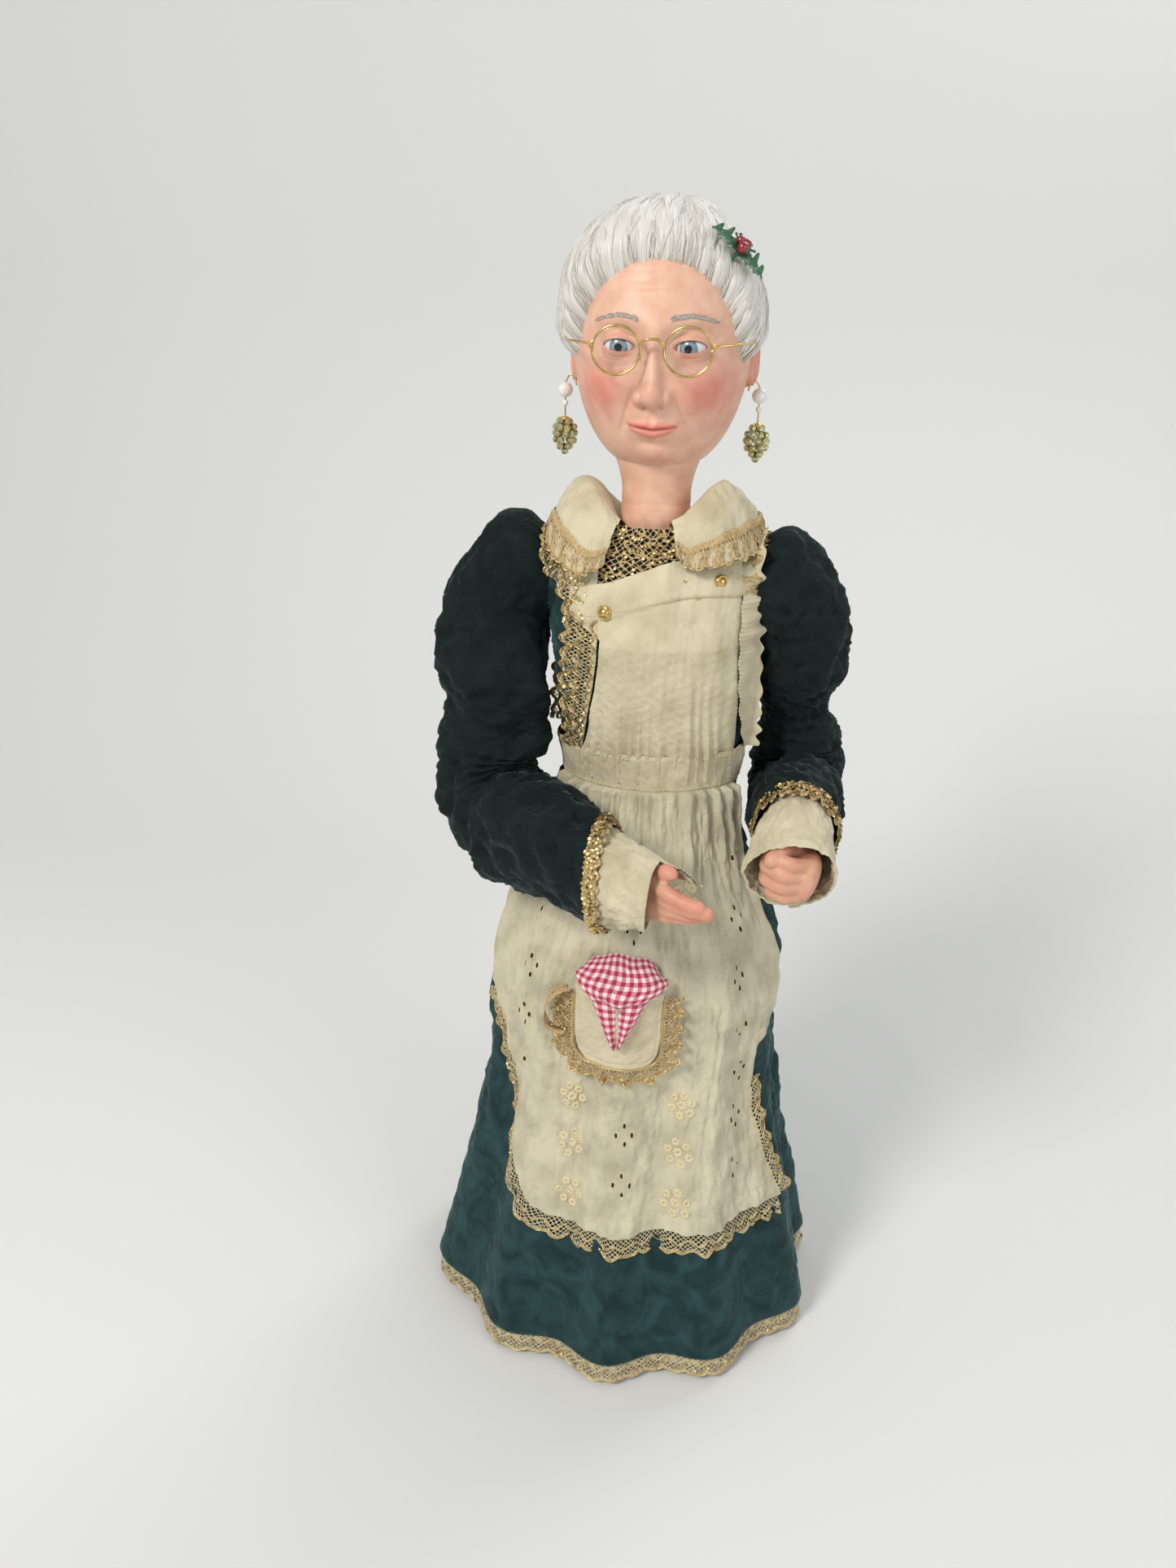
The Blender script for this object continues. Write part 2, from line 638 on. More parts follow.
def apron_point(angle, z, lift=0.0):
    angle, z, lift = together(angle, z, lift)
    pleat = 0.5 + 0.5 * np.cos(43 * angle + 2.4 * np.sin(4 * angle + 0.5) + 0.012 * (z - 300))
    gather = 2.7 * np.exp((z - WAIST_Z) / 42) * pleat
    flat = xyz(angle * 95, 0 * z, z * 0.2)
    crease = 1.5 + 1.3 * ripple(flat, 24.0, 41) + 0.5 * ripple(flat * (1, 1, 3.0), 9.0, 42, 2)
    fold_at = 0.50 + 0.0011 * (z - 95)
    along_fold = ease(z, 100, 150) * (1 - ease(z, 262, 300))
    past_fold = np.exp(-np.clip(angle - fold_at, 0, None) / 0.16)
    turn_over = along_fold * 2.6 * (ease(angle, fold_at - 0.004, fold_at + 0.035) * past_fold)
    return skirt_point(angle, z, 1.2 + gather + np.clip(crease, 0.1, 4) + turn_over + lift)


def lengths_along(run):
    """How far along a line of points each of them lies."""
    return np.concatenate([[0], np.cumsum(np.linalg.norm(np.diff(run, axis=0), axis=1))])


def apron_ways(angle, z):
    here = apron_point(angle, z)
    across = unit(apron_point(angle + 0.01, z) - here)
    upward = unit(apron_point(angle, z + 1.0) - here)
    return here, across, upward, np.cross(across, upward)


def apron_half(z):
    return skirt_point(np.full_like(np.asarray(z, float), math.pi / 2), z)[..., 0]


def apron_angle(x, z):
    return np.arcsin(np.clip(x / apron_half(z), -0.99, 0.99))


def apron_edge(side, z):
    """The angle of one side edge: the apron hangs askew, its right edge running in toward the foot."""
    levels = [95.0, 112.0, 130.0, 150.0, 170.0, 190.0, 210.0, 230.0, 250.0]
    right = [33.0, 31.0, 28.0, 23.0, 17.0, 11.0, 6.0, 2.0, 0.0]
    left = [4.0, 6.0, 8.0, 9.5, 9.5, 7.5, 4.0, 1.5, 0.0]
    inward = np.interp(z, levels, right if side < 0 else left)
    return np.arcsin(math.sin(APRON_REACH) - inward / apron_half(z))


FOOT_WIDE = 100 * float(apron_edge(-1, APRON_HEM_Z) + apron_edge(1, APRON_HEM_Z))


def apron_cut(share, rise):
    """A place on the apron's cloth, right to left and foot to top, its right corner being rounded."""
    inward = np.clip(1 - share * FOOT_WIDE / CORNER_WIDE, 0, 1)
    foot = APRON_HEM_Z + CORNER_HIGH * (1 - np.sqrt(1 - inward**2))
    z = foot + (APRON_TOP_Z - foot) * rise
    right, left = apron_edge(-1, z), apron_edge(1, z)
    return (right + left) * share - right, z, z - foot


def apron_rim(first, last, count):
    """Part of the cut edge: 0 is high on the right, 1 to 2 the corner, 3 the left corner, 4 up there."""
    at = np.linspace(first, last, count)
    climb = 118.0 - CORNER_HIGH
    corner = np.clip(at - 1, 0, 1) * math.pi / 2
    across = CORNER_WIDE * (1 - np.cos(corner)) + (FOOT_WIDE - CORNER_WIDE) * np.clip(at - 2, 0, 1)
    up_sides = climb * np.clip(1 - at, 0, 1) + climb * np.clip(at - 3, 0, 1)
    z = APRON_HEM_Z + CORNER_HIGH * (1 - np.sin(corner)) + up_sides
    right, left = apron_edge(-1, z), apron_edge(1, z)
    return np.stack([(right + left) * across / FOOT_WIDE - right, z], -1)


def edging(u, v, deep, pitch):
    """Net lace with a scalloped foot: v is 0 at the seam and deep at the points of the scallops."""
    edge = edging_run(u, deep, pitch, 0.0)
    solid = np.maximum(net(u, v, 2.7, 0.52), near_line(v - edge + 0.9, 2.0))
    solid = np.maximum(solid, near_line(v - edging_wave(u, deep, pitch), 1.2))
    solid = np.maximum(solid, near_line(v - 1.0, 2.0))
    solid = np.maximum(solid, dots(u, v - edge + deep, pitch, deep * 2, 1.7))
    return np.minimum(solid, edge - v)


def edging_run(u, deep, pitch, inset):
    return deep - 2.6 * (1 - np.abs(np.sin(math.pi * u / pitch))) - inset


def edging_wave(u, deep, pitch):
    return deep * 0.52 + 1.5 * np.sin(math.tau * u / pitch)


def lay_edging(work, length, deep, pitch, carry, step=0.33):
    lay_lace(work, length, deep, step, lambda u, v: edging(u, v, deep, pitch), carry)


def sew_edging(name, length, deep, pitch, carry, seed):
    lace, gilt = Work(), Work()
    lay_edging(lace, length, deep, pitch, carry)
    u = np.linspace(0, length, max(60, round(length / 0.9)))
    gilt.tube(carry(u, edging_run(u, deep, pitch, 0.35), 0.35), 0.42, 5)
    gilt.tube(carry(u, edging_wave(u, deep, pitch), 0.45), 0.3, 5)
    at = np.arange(1.2, length, 2.1)
    sequin_row(gilt, carry, at, edging_run(at, deep, pitch, 1.5), 0.5, 0.85, seed)
    cloth = lace.make(name, cream_thread, "torso", "lace")
    return cloth, gilt.make(name + "_gilt", gilt_thread, "torso", "lace")


def work_floret(work, place, across, upward, out, size, turn):
    ring = full_turn(21)[:, None]
    lobe = 1 + 0.16 * np.cos(7 * ring + turn)
    rows = []
    for share, height in ((0.24, 0.05), (0.34, 0.5), (0.62, 0.62), (0.92, 0.4), (1.0, -0.1)):
        reach = size * share * (lobe if share > 0.5 else 1.0)
        rows.append(place + reach * np.cos(ring) * across + reach * np.sin(ring) * upward + height * out)
    work.grid(np.stack(rows), around=True)


def work_eyelet(rim, hole, place, across, upward, out):
    sides = 12
    ring = full_turn(sides)[:, None]
    shape = np.cos(ring) * across * 0.8 + np.sin(ring) * upward * 1.6
    rows = [
        place + shape * size + height * out for size, height in ((1.55, -0.1), (1.3, 0.42), (1.0, 0.15))
    ]
    rim.grid(np.stack(rows), around=True)
    floor = place + 0.12 * out
    faces = [[0, 1 + k, 1 + (k + 1) % sides] for k in range(sides)]
    hole.lay(np.concatenate([[floor], floor + shape * 1.05]), faces)


def make_apron_trims():
    """Lace round the foot and up both sides, which follows the cut edge of the cloth."""
    trims = []
    for name, first, last, deep, pitch, out in (
        ("apron_hem_lace", 1.0, 3.0, APRON_LACE, 10.4, -0.9),
        ("apron_side_lace_right", 0.0, 1.0, 10.5, 8.7, 0.4),
        ("apron_side_lace_left", 3.0, 4.0, 10.5, 8.7, 0.4),
    ):
        rim = apron_rim(first, last, 240) * np.array([100.0, 1.0])
        gaps = lengths_along(rim)
        lines = (*rim.T, *unit(np.gradient(rim, axis=0)).T)

        def beside(u, v, lift):
            a, z, way_a, way_z = (np.interp(u, gaps, line) for line in lines)
            wave = 1.2 * np.sin(math.tau * u / 17) * v / 12
            angle = (a + way_z * (v - 1.5)) / 100
            return apron_point(angle, z - way_a * (v - 1.5), out + wave + lift - 0.06 * v)

        made = sew_edging(name + "_cloth", gaps[-1], deep, pitch, beside, 13 + len(trims))
        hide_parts(name)
        trims += made
    return trims


def make_embroidery():
    """Columns of flowers and of eyelets in fours by turns, clear of the edges and of the pocket."""
    flowers, rims, holes = Work(), Work(), Work()
    chance = random.Random(7)
    for column in range(-3, 4):
        flowering = column % 2 != 0
        for row in range(0, 8):
            x_place = column * 28.0 + 4
            height = 112.0 + row * 29.0 + (0 if flowering else 13)
            if height > 302 or (abs(x_place) < 38 and 178 < height < 266):
                continue
            narrowed = x_place * (1 - 0.25 * max(0, (height - 200) / 130))
            middle = apron_angle(np.array([narrowed]), np.array([height]))
            turned = float(middle[0])
            right, left = float(apron_edge(-1, height)), float(apron_edge(1, height))
            if not 0.16 - right < turned < left - 0.14 or (height < 135 and turned < 0.36 - right):
                continue

            def spot_at(a, b):
                return [way[0] for way in apron_ways(middle + a / 100.0, np.array([height + b]))]

            if not flowering:
                for a, b in ((0, 5.2), (4.8, 0.6), (-4.8, -0.4), (0.6, -5.6)):
                    work_eyelet(rims, holes, *spot_at(a, b))
                continue
            start = chance.uniform(0, 6.3)
            petals = [start + k * math.pi / 3 for k in range(6)]
            florets = [(0, 0, 2.9)] + [(6.3 * math.cos(turn), 6.3 * math.sin(turn), 2.6) for turn in petals]
            for a, b, size in florets:
                work_floret(flowers, *spot_at(a, b), size * chance.uniform(0.9, 1.1), chance.uniform(0, 6))
    return [
        flowers.make("apron_flowers", floss, "torso", "cotton"),
        rims.make("apron_eyelets", floss, "torso", "cotton"),
        holes.make("apron_eyelet_holes", plain_hole, "torso", "cotton"),
    ]


def make_apron():
    share, rise = np.meshgrid(np.linspace(0, 1, 321) ** 1.4, np.linspace(0, 1, 250))
    turn, z, above = apron_cut(share, rise)
    at_side = np.minimum(share, 1 - share) * FOOT_WIDE
    hem = 0.5 * ease(9 - above, 0, 1.0) + 0.5 * ease(5 - at_side, 0, 1.0)
    stitch = -0.35 * bell(above - 9.5, 0.5) * (0.6 + 0.4 * np.sin(turn * 400))
    work = Work()
    tucked = trunk_point(turn[-1:], np.array([[336.0], [340.0]]), 5.3)
    work.grid(np.concatenate([apron_point(turn, z, hem + stitch), tucked]))
    apron = work.make("apron_cloth", apron_cotton, "torso", "cotton", ("apron_skirt",))
    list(make_apron_trims())
    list(make_embroidery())


apron_cotton = cotton_finish("apron_cotton", (0.40, 0.36, 0.25), (0.58, 0.53, 0.38), 0.0006)
floss = thread_finish("embroidery_floss", (0.54, 0.44, 0.23), (0.74, 0.65, 0.42))
plain_hole = speckled_finish("eyelet_shadow", (0.006, 0.008, 0.007), (0.02, 0.02, 0.016), 0.9, 0.0005)
make_apron()


# Waistband, bib, straps, frills, buttons and back bow.
# The bib has a deep folded band along its top, gathers at its foot and two gilt buttons for the straps.
# A beaded lace frill runs over the right shoulder to the waistband, and a soft cotton one over the left.
BAND_LOW, BAND_HIGH, BAND_OUT = WAIST_Z + 3, WAIST_Z + 24, 6.3
FRILL_X, STRAP_OUT = 42.6, 5.0


def crossed(along, up):
    """A grid of two values from their starts, ends and counts."""
    return np.meshgrid(np.linspace(*along), np.linspace(*up))


def points_at(distance, gaps, run):
    """The points at some distances along a line of points."""
    return np.stack([np.interp(distance, gaps, line) for line in run.T], -1)


def stitches(work, run, out, pitch=2.2, radius=0.28):
    """Short raised stitches along a line of points."""
    gaps = lengths_along(run)
    count = int(gaps[-1] / pitch)
    for k in range(count):
        span = np.linspace(k * pitch, k * pitch + pitch * 0.66, 4)
        part = points_at(span, gaps, run)
        lift = np.array([0.0, 0.28, 0.28, 0.0])[:, None] * points_at(span, gaps, out)
        work.tube(part + lift, radius, 5)


def bib_top(x):
    return np.interp(
        x, [-40, -30, -17.5, -5, 5, 12.5, 20, 30, 45],
        [435.5, 437, 440.2, 444.4, 447.6, 449.4, 450.4, 450.6, 449.6]
    )


def frill_line(z):
    """How far right of the middle the lace frill is sewn down, leaning in as the pinafore sits askew."""
    return np.interp(
        z, [BAND_HIGH - 2, 372, 390, 404, 418, 428, 435, 441, 446, 450],
        [29.5, 26.5, 23.5, 21.8, 21.2, 22.5, 26.0, 31.5, 38.0, 42.6]
    )


def make_bib():
    turn, z = np.meshgrid(body_turn(320), np.linspace(BAND_LOW - 0.8, BAND_HIGH, 26))
    face = trunk_point(turn, z, BAND_OUT)
    roll = -0.9 * (bell(z - BAND_LOW, 0.8) + bell(z - BAND_HIGH, 0.8))
    creased = 0.35 * ripple(face * (1, 1, 0.3), 7.0, 51) + 0.3 * ripple(face, 16.0, 52)
    face += (roll + creased)[..., None] * outward(turn)
    band = Work()
    band.grid(face, around=True)
    waist = band.make("waistband_cloth", cream_cotton, "torso", "cotton", ("apron_waistband",))
    seam = Work()
    around = np.linspace(-math.pi, math.pi, 241)
    for level in (BAND_LOW + 2.2, BAND_HIGH - 2.2):
        stitches(seam, trunk_point(around, level, BAND_OUT + 0.1), outward(around))
    rows_up = 150
    share, rise = crossed((-1, 1, 171), (0, 1, rows_up))
    low, high = WAIST_Z + 8, bib_top(share * 40 + 3)
    z = low + (high - low) * rise
    covered = ease(high - z, 12, 22)
    left, right = 36 - covered * (37.5 - frill_line(z)), 46.5 - 1.5 * rise
    x = (right + left) * (share + 1) / 2 - left
    angle = trunk_angle(x, z, 4.5)
    foot = np.exp(-(z - BAND_HIGH) / 14)
    gathers = 1.1 * np.clip(foot, 0, 1.4) * np.cos(x * 1.15 + 1.6 * np.sin(x * 0.21))
    flat = xyz(x, 0 * x, z * 0.3)
    drape = (
        0.75 * ripple(flat * (1, 1, 0.6), 17.0, 55)
        + 0.22 * ripple(flat * (1, 1, 3.2), 5.0, 56, 2) * (1 - 0.8 * rise)
    )
    drape += 0.5 * np.cos(x * 0.55 + 0.8) * np.exp(-(z - BAND_HIGH) / 40)
    below_top = high - z
    fold = 1.1 * ease(15.5 - below_top, 0, 0.7) - 0.5 * bell(below_top - 15.3, 0.8)
    offset = 5.2 + gathers + np.clip(drape, -0.8, 2) + fold + 1.4 * (1 - rise) * ease(rise, 0, 0.2)
    bib = Work()
    surface = trunk_point(angle, z, offset)
    bib.grid(surface, marks=np.exp(-(z - BAND_HIGH) / 20))
    bib_cloth = bib.make("bib_cloth", cream_cotton, "torso", "cotton", ("apron_bib",))
    row = rows_up - 1 - round(rows_up * 13.6 / 100)
    stitches(seam, surface[row], outward(angle[row]), 1.8, 0.22)
    bib_seam = seam.make("pinafore_stitching", floss, "torso", "cotton")


def shoulder_top(x, offset):
    """How high the shoulder is at some distance from the middle, that far out from the trunk."""
    shoulder = TRUNK_ROWS[:4:-1]
    return np.interp(x, shoulder[:, 1] + offset, shoulder[:, 0])


def make_straps():
    for word, side in (("right", -1), ("left", 1)):
        run_x, half_wide = (35.0, 11.0) if side < 0 else (38.0, 7.0)
        top = shoulder_top(run_x, 4.6)
        front_z = np.linspace(bib_top(side * 36) - (2 if side < 0 else 9), top, 40)
        back_z = np.linspace(top, WAIST_Z + 12, 70)[1:]
        run_z = np.concatenate([front_z, back_z])
        front = np.concatenate([np.ones(len(front_z)), -np.ones(len(back_z))])
        strap_rows = []
        for across in np.linspace(-half_wide, half_wide, 15):
            width_at = trunk_size(run_z, 1) + STRAP_OUT
            a = np.arcsin(np.clip((run_x + across) / width_at, -1, 1))
            a = np.where(front > 0, a, math.pi - a)
            edge = 0.5 * (abs(across) > half_wide - 1)
            strap_rows.append(
                trunk_point(side * a, run_z, STRAP_OUT + 0.3 - edge + 0.25 * math.cos(across * 2))
            )
        strap = Work()
        strap.grid(np.stack(strap_rows, 1), turned=side < 0)
        band = strap.make(
            "strap_%s_cloth" % word, cream_cotton, "torso", "cotton", ("apron_strap_" + word,)
        )


def shoulder_run(side, count):
    """The line a frill is sewn along: its points, the ways out of the cloth, and how it lies."""
    top = shoulder_top(FRILL_X, STRAP_OUT)
    rise = np.linspace(0, 1, count // 2)
    front_z = BAND_HIGH - 1 + (top - BAND_HIGH + 1) * np.sin(rise * math.pi / 2)
    back_z = front_z[::-1][1:]
    run_z = np.concatenate([front_z, back_z])
    width_at = trunk_size(run_z, 1) + STRAP_OUT
    a = np.arcsin(np.clip(FRILL_X / width_at, -1, 1))
    a[len(front_z):] = math.pi - a[len(front_z):]
    points = trunk_point(side * a, run_z, STRAP_OUT)
    out = unit(xyz(np.sin(side * a) * 0.45, -np.cos(a), np.clip((run_z - 435) / 18, 0, 1.2)))
    seam = frill_line(run_z) if side < 0 else 44.0 - 3.0 * ease(run_z, 435, 447)
    lying = np.where(np.arange(len(run_z)) < len(front_z), 1 - ease(run_z, 437, 447), 0)
    wide = (
        0.66 + (0.62 * ease(run_z, 358, 392) * lying if side < 0 else -0.12 + 0.30 * ease(run_z, 352, 392))
    )
    return points, out, np.stack([run_z, seam, lying, wide], -1)


def frill_edge(side, deep, count, fullness):
    """Carries a flat frill onto its line, standing up at the shoulder and pressed flat on the bib."""
    run, out, laid = shoulder_run(side, count)
    gaps = lengths_along(run)
    total = gaps[-1]

    def carry(u, v, lift):
        s = np.clip(u / fullness, 0, total)
        base = points_at(s, gaps, run)
        face = points_at(s, gaps, out)
        z, seam, lying, wide = (np.interp(s, gaps, laid[:, i]) for i in range(4))
        middle = np.sin(np.clip(s / total, 0, 1) * math.pi)
        wave = np.sin(math.tau * u / 15.0 + 1.9 * np.sin(u / 17))
        stand = (v / deep) * (2.6 + 2.6 * middle + wave * 2.0) + lift
        stand = stand + (s > total / 2) * 7.5 * bell(z - 431, 17)
        hung = base + face * stand[..., None] + np.array([side, 0, 0]) * (v * wide)[..., None]
        width_at = trunk_size(z, 1) + STRAP_OUT
        x = seam + v * wide
        over = np.clip(x - width_at * 0.985, 0, None)
        pressed = 0.6 + (v / deep) * (1.6 + 1.2 * wave) + lift
        flat = trunk_point(side * np.arcsin(np.clip((x - over) / width_at, -1, 1)), z, STRAP_OUT + pressed)
        flat = flat + np.array([side, 0, 0]) * over[..., None]
        return hung * (1 - lying)[..., None] + flat * lying[..., None]

    return carry, total * fullness


def make_right_frill():
    deep, pitch = 14.0, 9.6
    carry, length = frill_edge(-1, deep, 160, 1.35)
    lace, gilt = Work(), Work()
    lay_edging(lace, length, deep, pitch, carry, 0.36)
    u = np.linspace(0, length, 420)
    gilt.tube(carry(u, edging_run(u, deep, pitch, 0.35), 0.35), 0.5, 5)
    gilt.tube(carry(u, 7.3 + 1.5 * np.sin(math.tau * u / pitch), 0.45), 0.4, 5)
    spots_u = np.arange(0.8, length, 1.3)
    for inset, seed in ((0.9, 61), (2.6, 62), (7.4, 63), (11.6, 64)):
        spots_v = np.clip(edging_run(spots_u, deep, pitch, inset), 0.5, deep)
        sequin_row(gilt, carry, spots_u, spots_v, 0.5, 0.95, seed)
    lace.make("right_frill_lace", cream_thread, "torso", "lace", ("apron_frill_right",))
    gilt.make("right_frill_gilt", gilt_thread, "torso", "lace")


def make_left_frill():
    deep = 10.5
    carry, length = frill_edge(1, deep, 160, 1.5)
    u, v = crossed((0, length, 420), (0, deep, 16))
    ruffle = Work()
    ruffle.grid(
        carry(u, v, 0.25 * np.sin(u * 1.9) * (1 - v / deep) + 0.5 * np.sin(u * 0.31 + v * 0.3) + 1.2)
    )
    frill = ruffle.make("left_frill_cotton", cream_cotton, "torso", "lace", ("apron_frill_left",))
    lace, gilt = Work(), Work()
    start, end = length * 0.36, length * 0.60
    lace_deep, pitch = 9.0, 7.0

    def shoulder(u, v, lift):
        return carry(u + start, v, lift + 1.0 + 0.6 * np.sin(u * 0.6))

    lay_edging(lace, end - start, lace_deep, pitch, shoulder)
    u = np.linspace(0, end - start, 160)
    gilt.tube(shoulder(u, edging_run(u, lace_deep, pitch, 0.3), 0.3), 0.5, 5)
    lace.make("left_shoulder_lace", tan_thread, "torso", "lace")
    gilt.make("left_shoulder_gilt", gilt_thread, "torso", "lace")


def make_bib_buttons():
    for word, x, drop in (("right", -19.0, 13.0), ("left", 35.0, 9.0)):
        z = float(bib_top(x)) - drop
        angle = trunk_angle(x, z, 6.4)
        base = trunk_point(angle, z, 6.2)
        out = outward(angle)
        across = np.array([out[1], -out[0], 0.0])
        ring = full_turn(32)
        disc = np.cos(ring)[:, None] * across + np.sin(ring)[:, None] * np.array([0, 0, 1.0])
        bands = [
            (3.5, -0.6), (3.7, 0.5), (3.45, 1.1), (3.0, 1.2), (2.75, 0.8),
            (2.5, 1.0), (1.9, 1.75), (1.0, 2.2), (0.05, 2.35),
        ]
        rows = [base + out * height + radius * disc for radius, height in bands]
        rows = [row + (0.12 * np.cos(16 * ring))[:, None] * out * (1 < i < 4) for i, row in enumerate(rows)]
        button = Work()
        button.grid(np.stack(rows), around=True, turned=True)
        button.make("bib_button_%s_gilt" % word, gilt_wire, "torso", "gilt_wire", ("bib_button_" + word,))


def make_bow():
    back = float(trunk_point(math.pi, WAIST_Z + 12.0, BAND_OUT)[1]) + 0.4
    middle_z = WAIST_Z + 13.0
    loops = Work()
    for side in (-1, 1):
        t, w = crossed((0.02, 0.98, 61), (-1, 1, 17))
        bulge = np.sin(math.pi * t)
        x = side * (2.5 + 34 * bulge**0.75)
        y = back + 4.0 - 4.6 * np.cos(math.pi * t) * bulge**0.5 + 0.5 * np.cos(w * 7) * (1 - bulge)
        half = 4.0 + 7.5 * bulge**0.8
        z = middle_z + w * half + 3.0 * bulge + 0.6 * np.sin(9 * w + 4 * t) * bulge
        y = np.maximum(y, back + 0.6)
        curve_back = -(x**2) / 2 / 46.0
        loops.grid(xyz(x, y + curve_back * 0.6, z))
        u, v = crossed((-1, 1, 25), (0, 1, 70))
        angle = math.pi + side * (0.10 + 0.19 * v) + u * (0.09 + 0.10 * v)
        z = WAIST_Z + 8 - 86 * v - side * 3 * v + 4 * np.abs(u) * (v > 0.97)
        lift = (
            2.2 + 7.0 * (1 - v) ** 3 + 1.1 * np.cos(3.2 * u + 2.2 * side) * (0.6 + v) + 0.5 * np.sin(8 * v)
        )
        loops.grid(skirt_point(angle, z, lift + 1.4), turned=True)
    knot_turn, rise = np.meshgrid(full_turn(40), np.linspace(-1, 1, 17))
    swell = np.sqrt(np.clip(1 - rise**2 * 0.9, 0.02, 1)) * (1 + 0.07 * np.cos(5 * knot_turn + 2 * rise))
    knot = xyz(
        6.6 * swell * np.cos(knot_turn), back + 4.6 + 4.8 * swell * np.sin(knot_turn), middle_z + 7.5 * rise
    )
    loops.grid(knot, around=True)
    bow = loops.make("back_bow_cloth", cream_cotton, "torso", "cotton", ("apron_bow",))


gilt_wire = speckled_finish("gilt_wire", (0.55, 0.36, 0.10), (0.80, 0.58, 0.24), 0.24, 0.002, 1.0, 0.00002)
tan_thread = thread_finish("tan_thread", (0.34, 0.22, 0.09), (0.58, 0.43, 0.22))
make_bib()
make_straps()
make_right_frill()
make_left_frill()
make_bib_buttons()
make_bow()


# Pocket, its lace and the kerchief.
# A rounded cotton patch with a stitched edge, framed by gathered tan lace with a gilt cord.
# A red and white checked kerchief is stuffed into it, with a puff on top and two points in front.
POCKET_X, POCKET_TOP_Z, POCKET_WIDE, POCKET_DEEP = -1.5, 241.0, 43.0, 44.0


def on_apron(x, z, lift):
    x, z, lift = together(x, z, lift)
    angle = apron_angle(x, z)
    smooth = skirt_point(angle, z, 4.6)
    return smooth + outward(angle) * lift[..., None]


def check_finish():
    finish = Finish("checked_cotton", (0.62, 0.30, 0.36), 0.85, Sheen_Weight=0.1)
    threads = finish.node("SeparateXYZ", Vector=finish.node("UVMap").outputs["UV"])
    checks_per_mm = 0.235

    def reckon(operation, *values):
        made = finish.node("Math")
        made.operation = operation
        for socket, value in zip(made.inputs, values):
            if isinstance(value, bpy.types.NodeSocket):
                finish.tree.links.new(value, socket)
            else:
                socket.default_value = value
        return made.outputs[0]

    bands = []
    for way in ("X", "Y"):
        within = reckon("FRACT", reckon("MULTIPLY", threads.outputs[way], checks_per_mm))
        bands.append(reckon("GREATER_THAN", within, 0.5))
    pale, pink, red = (0.78, 0.68, 0.66), (0.62, 0.20, 0.26), (0.36, 0.02, 0.05)
    crossing = reckon("MULTIPLY", reckon("ADD", *bands), 0.5)
    colours = finish.ramp(crossing, [(0.2, pale), (0.3, pink), (0.7, pink), (0.8, red)])
    colours.node.color_ramp.interpolation = "CONSTANT"
    finish.paint(colours)
    finish.bump(finish.noise(2400.0, 1.0), 0.0002)
    return finish.material


def make_pocket():
    share, rise = crossed((-1, 1, 91), (0, 1, 81))
    corner = np.clip(np.abs(share) - 0.55, 0, 1) / 0.45
    x = POCKET_X + share * POCKET_WIDE / 2 * (1 - 0.10 * (1 - rise) ** 5)
    z = POCKET_TOP_Z - POCKET_DEEP * (1 - rise) * (1 - 0.16 * corner**2.4)
    stuffed = 4.2 * (1 - share**2) * rise**1.2
    edge_gap = np.minimum(np.minimum(1 - np.abs(share), 1.2 * rise), 1.6 * (1 - rise))
    edge = 0.7 * ease(edge_gap, 0.0, 0.04) - 0.45 * bell(edge_gap - 0.10, 0.018)
    cloth = xyz(x, 0 * x, z)
    face = on_apron(
        x, z, 1.0 + stuffed + edge + 0.35 * ripple(cloth, 11.0, 71) + 0.7 * ease(0.13 - (1 - rise), 0, 0.02)
    )
    patch = Work()
    patch.grid(face)
    pocket = patch.make("pocket_cloth", cream_cotton, "torso", "cotton", ("apron_pocket",))


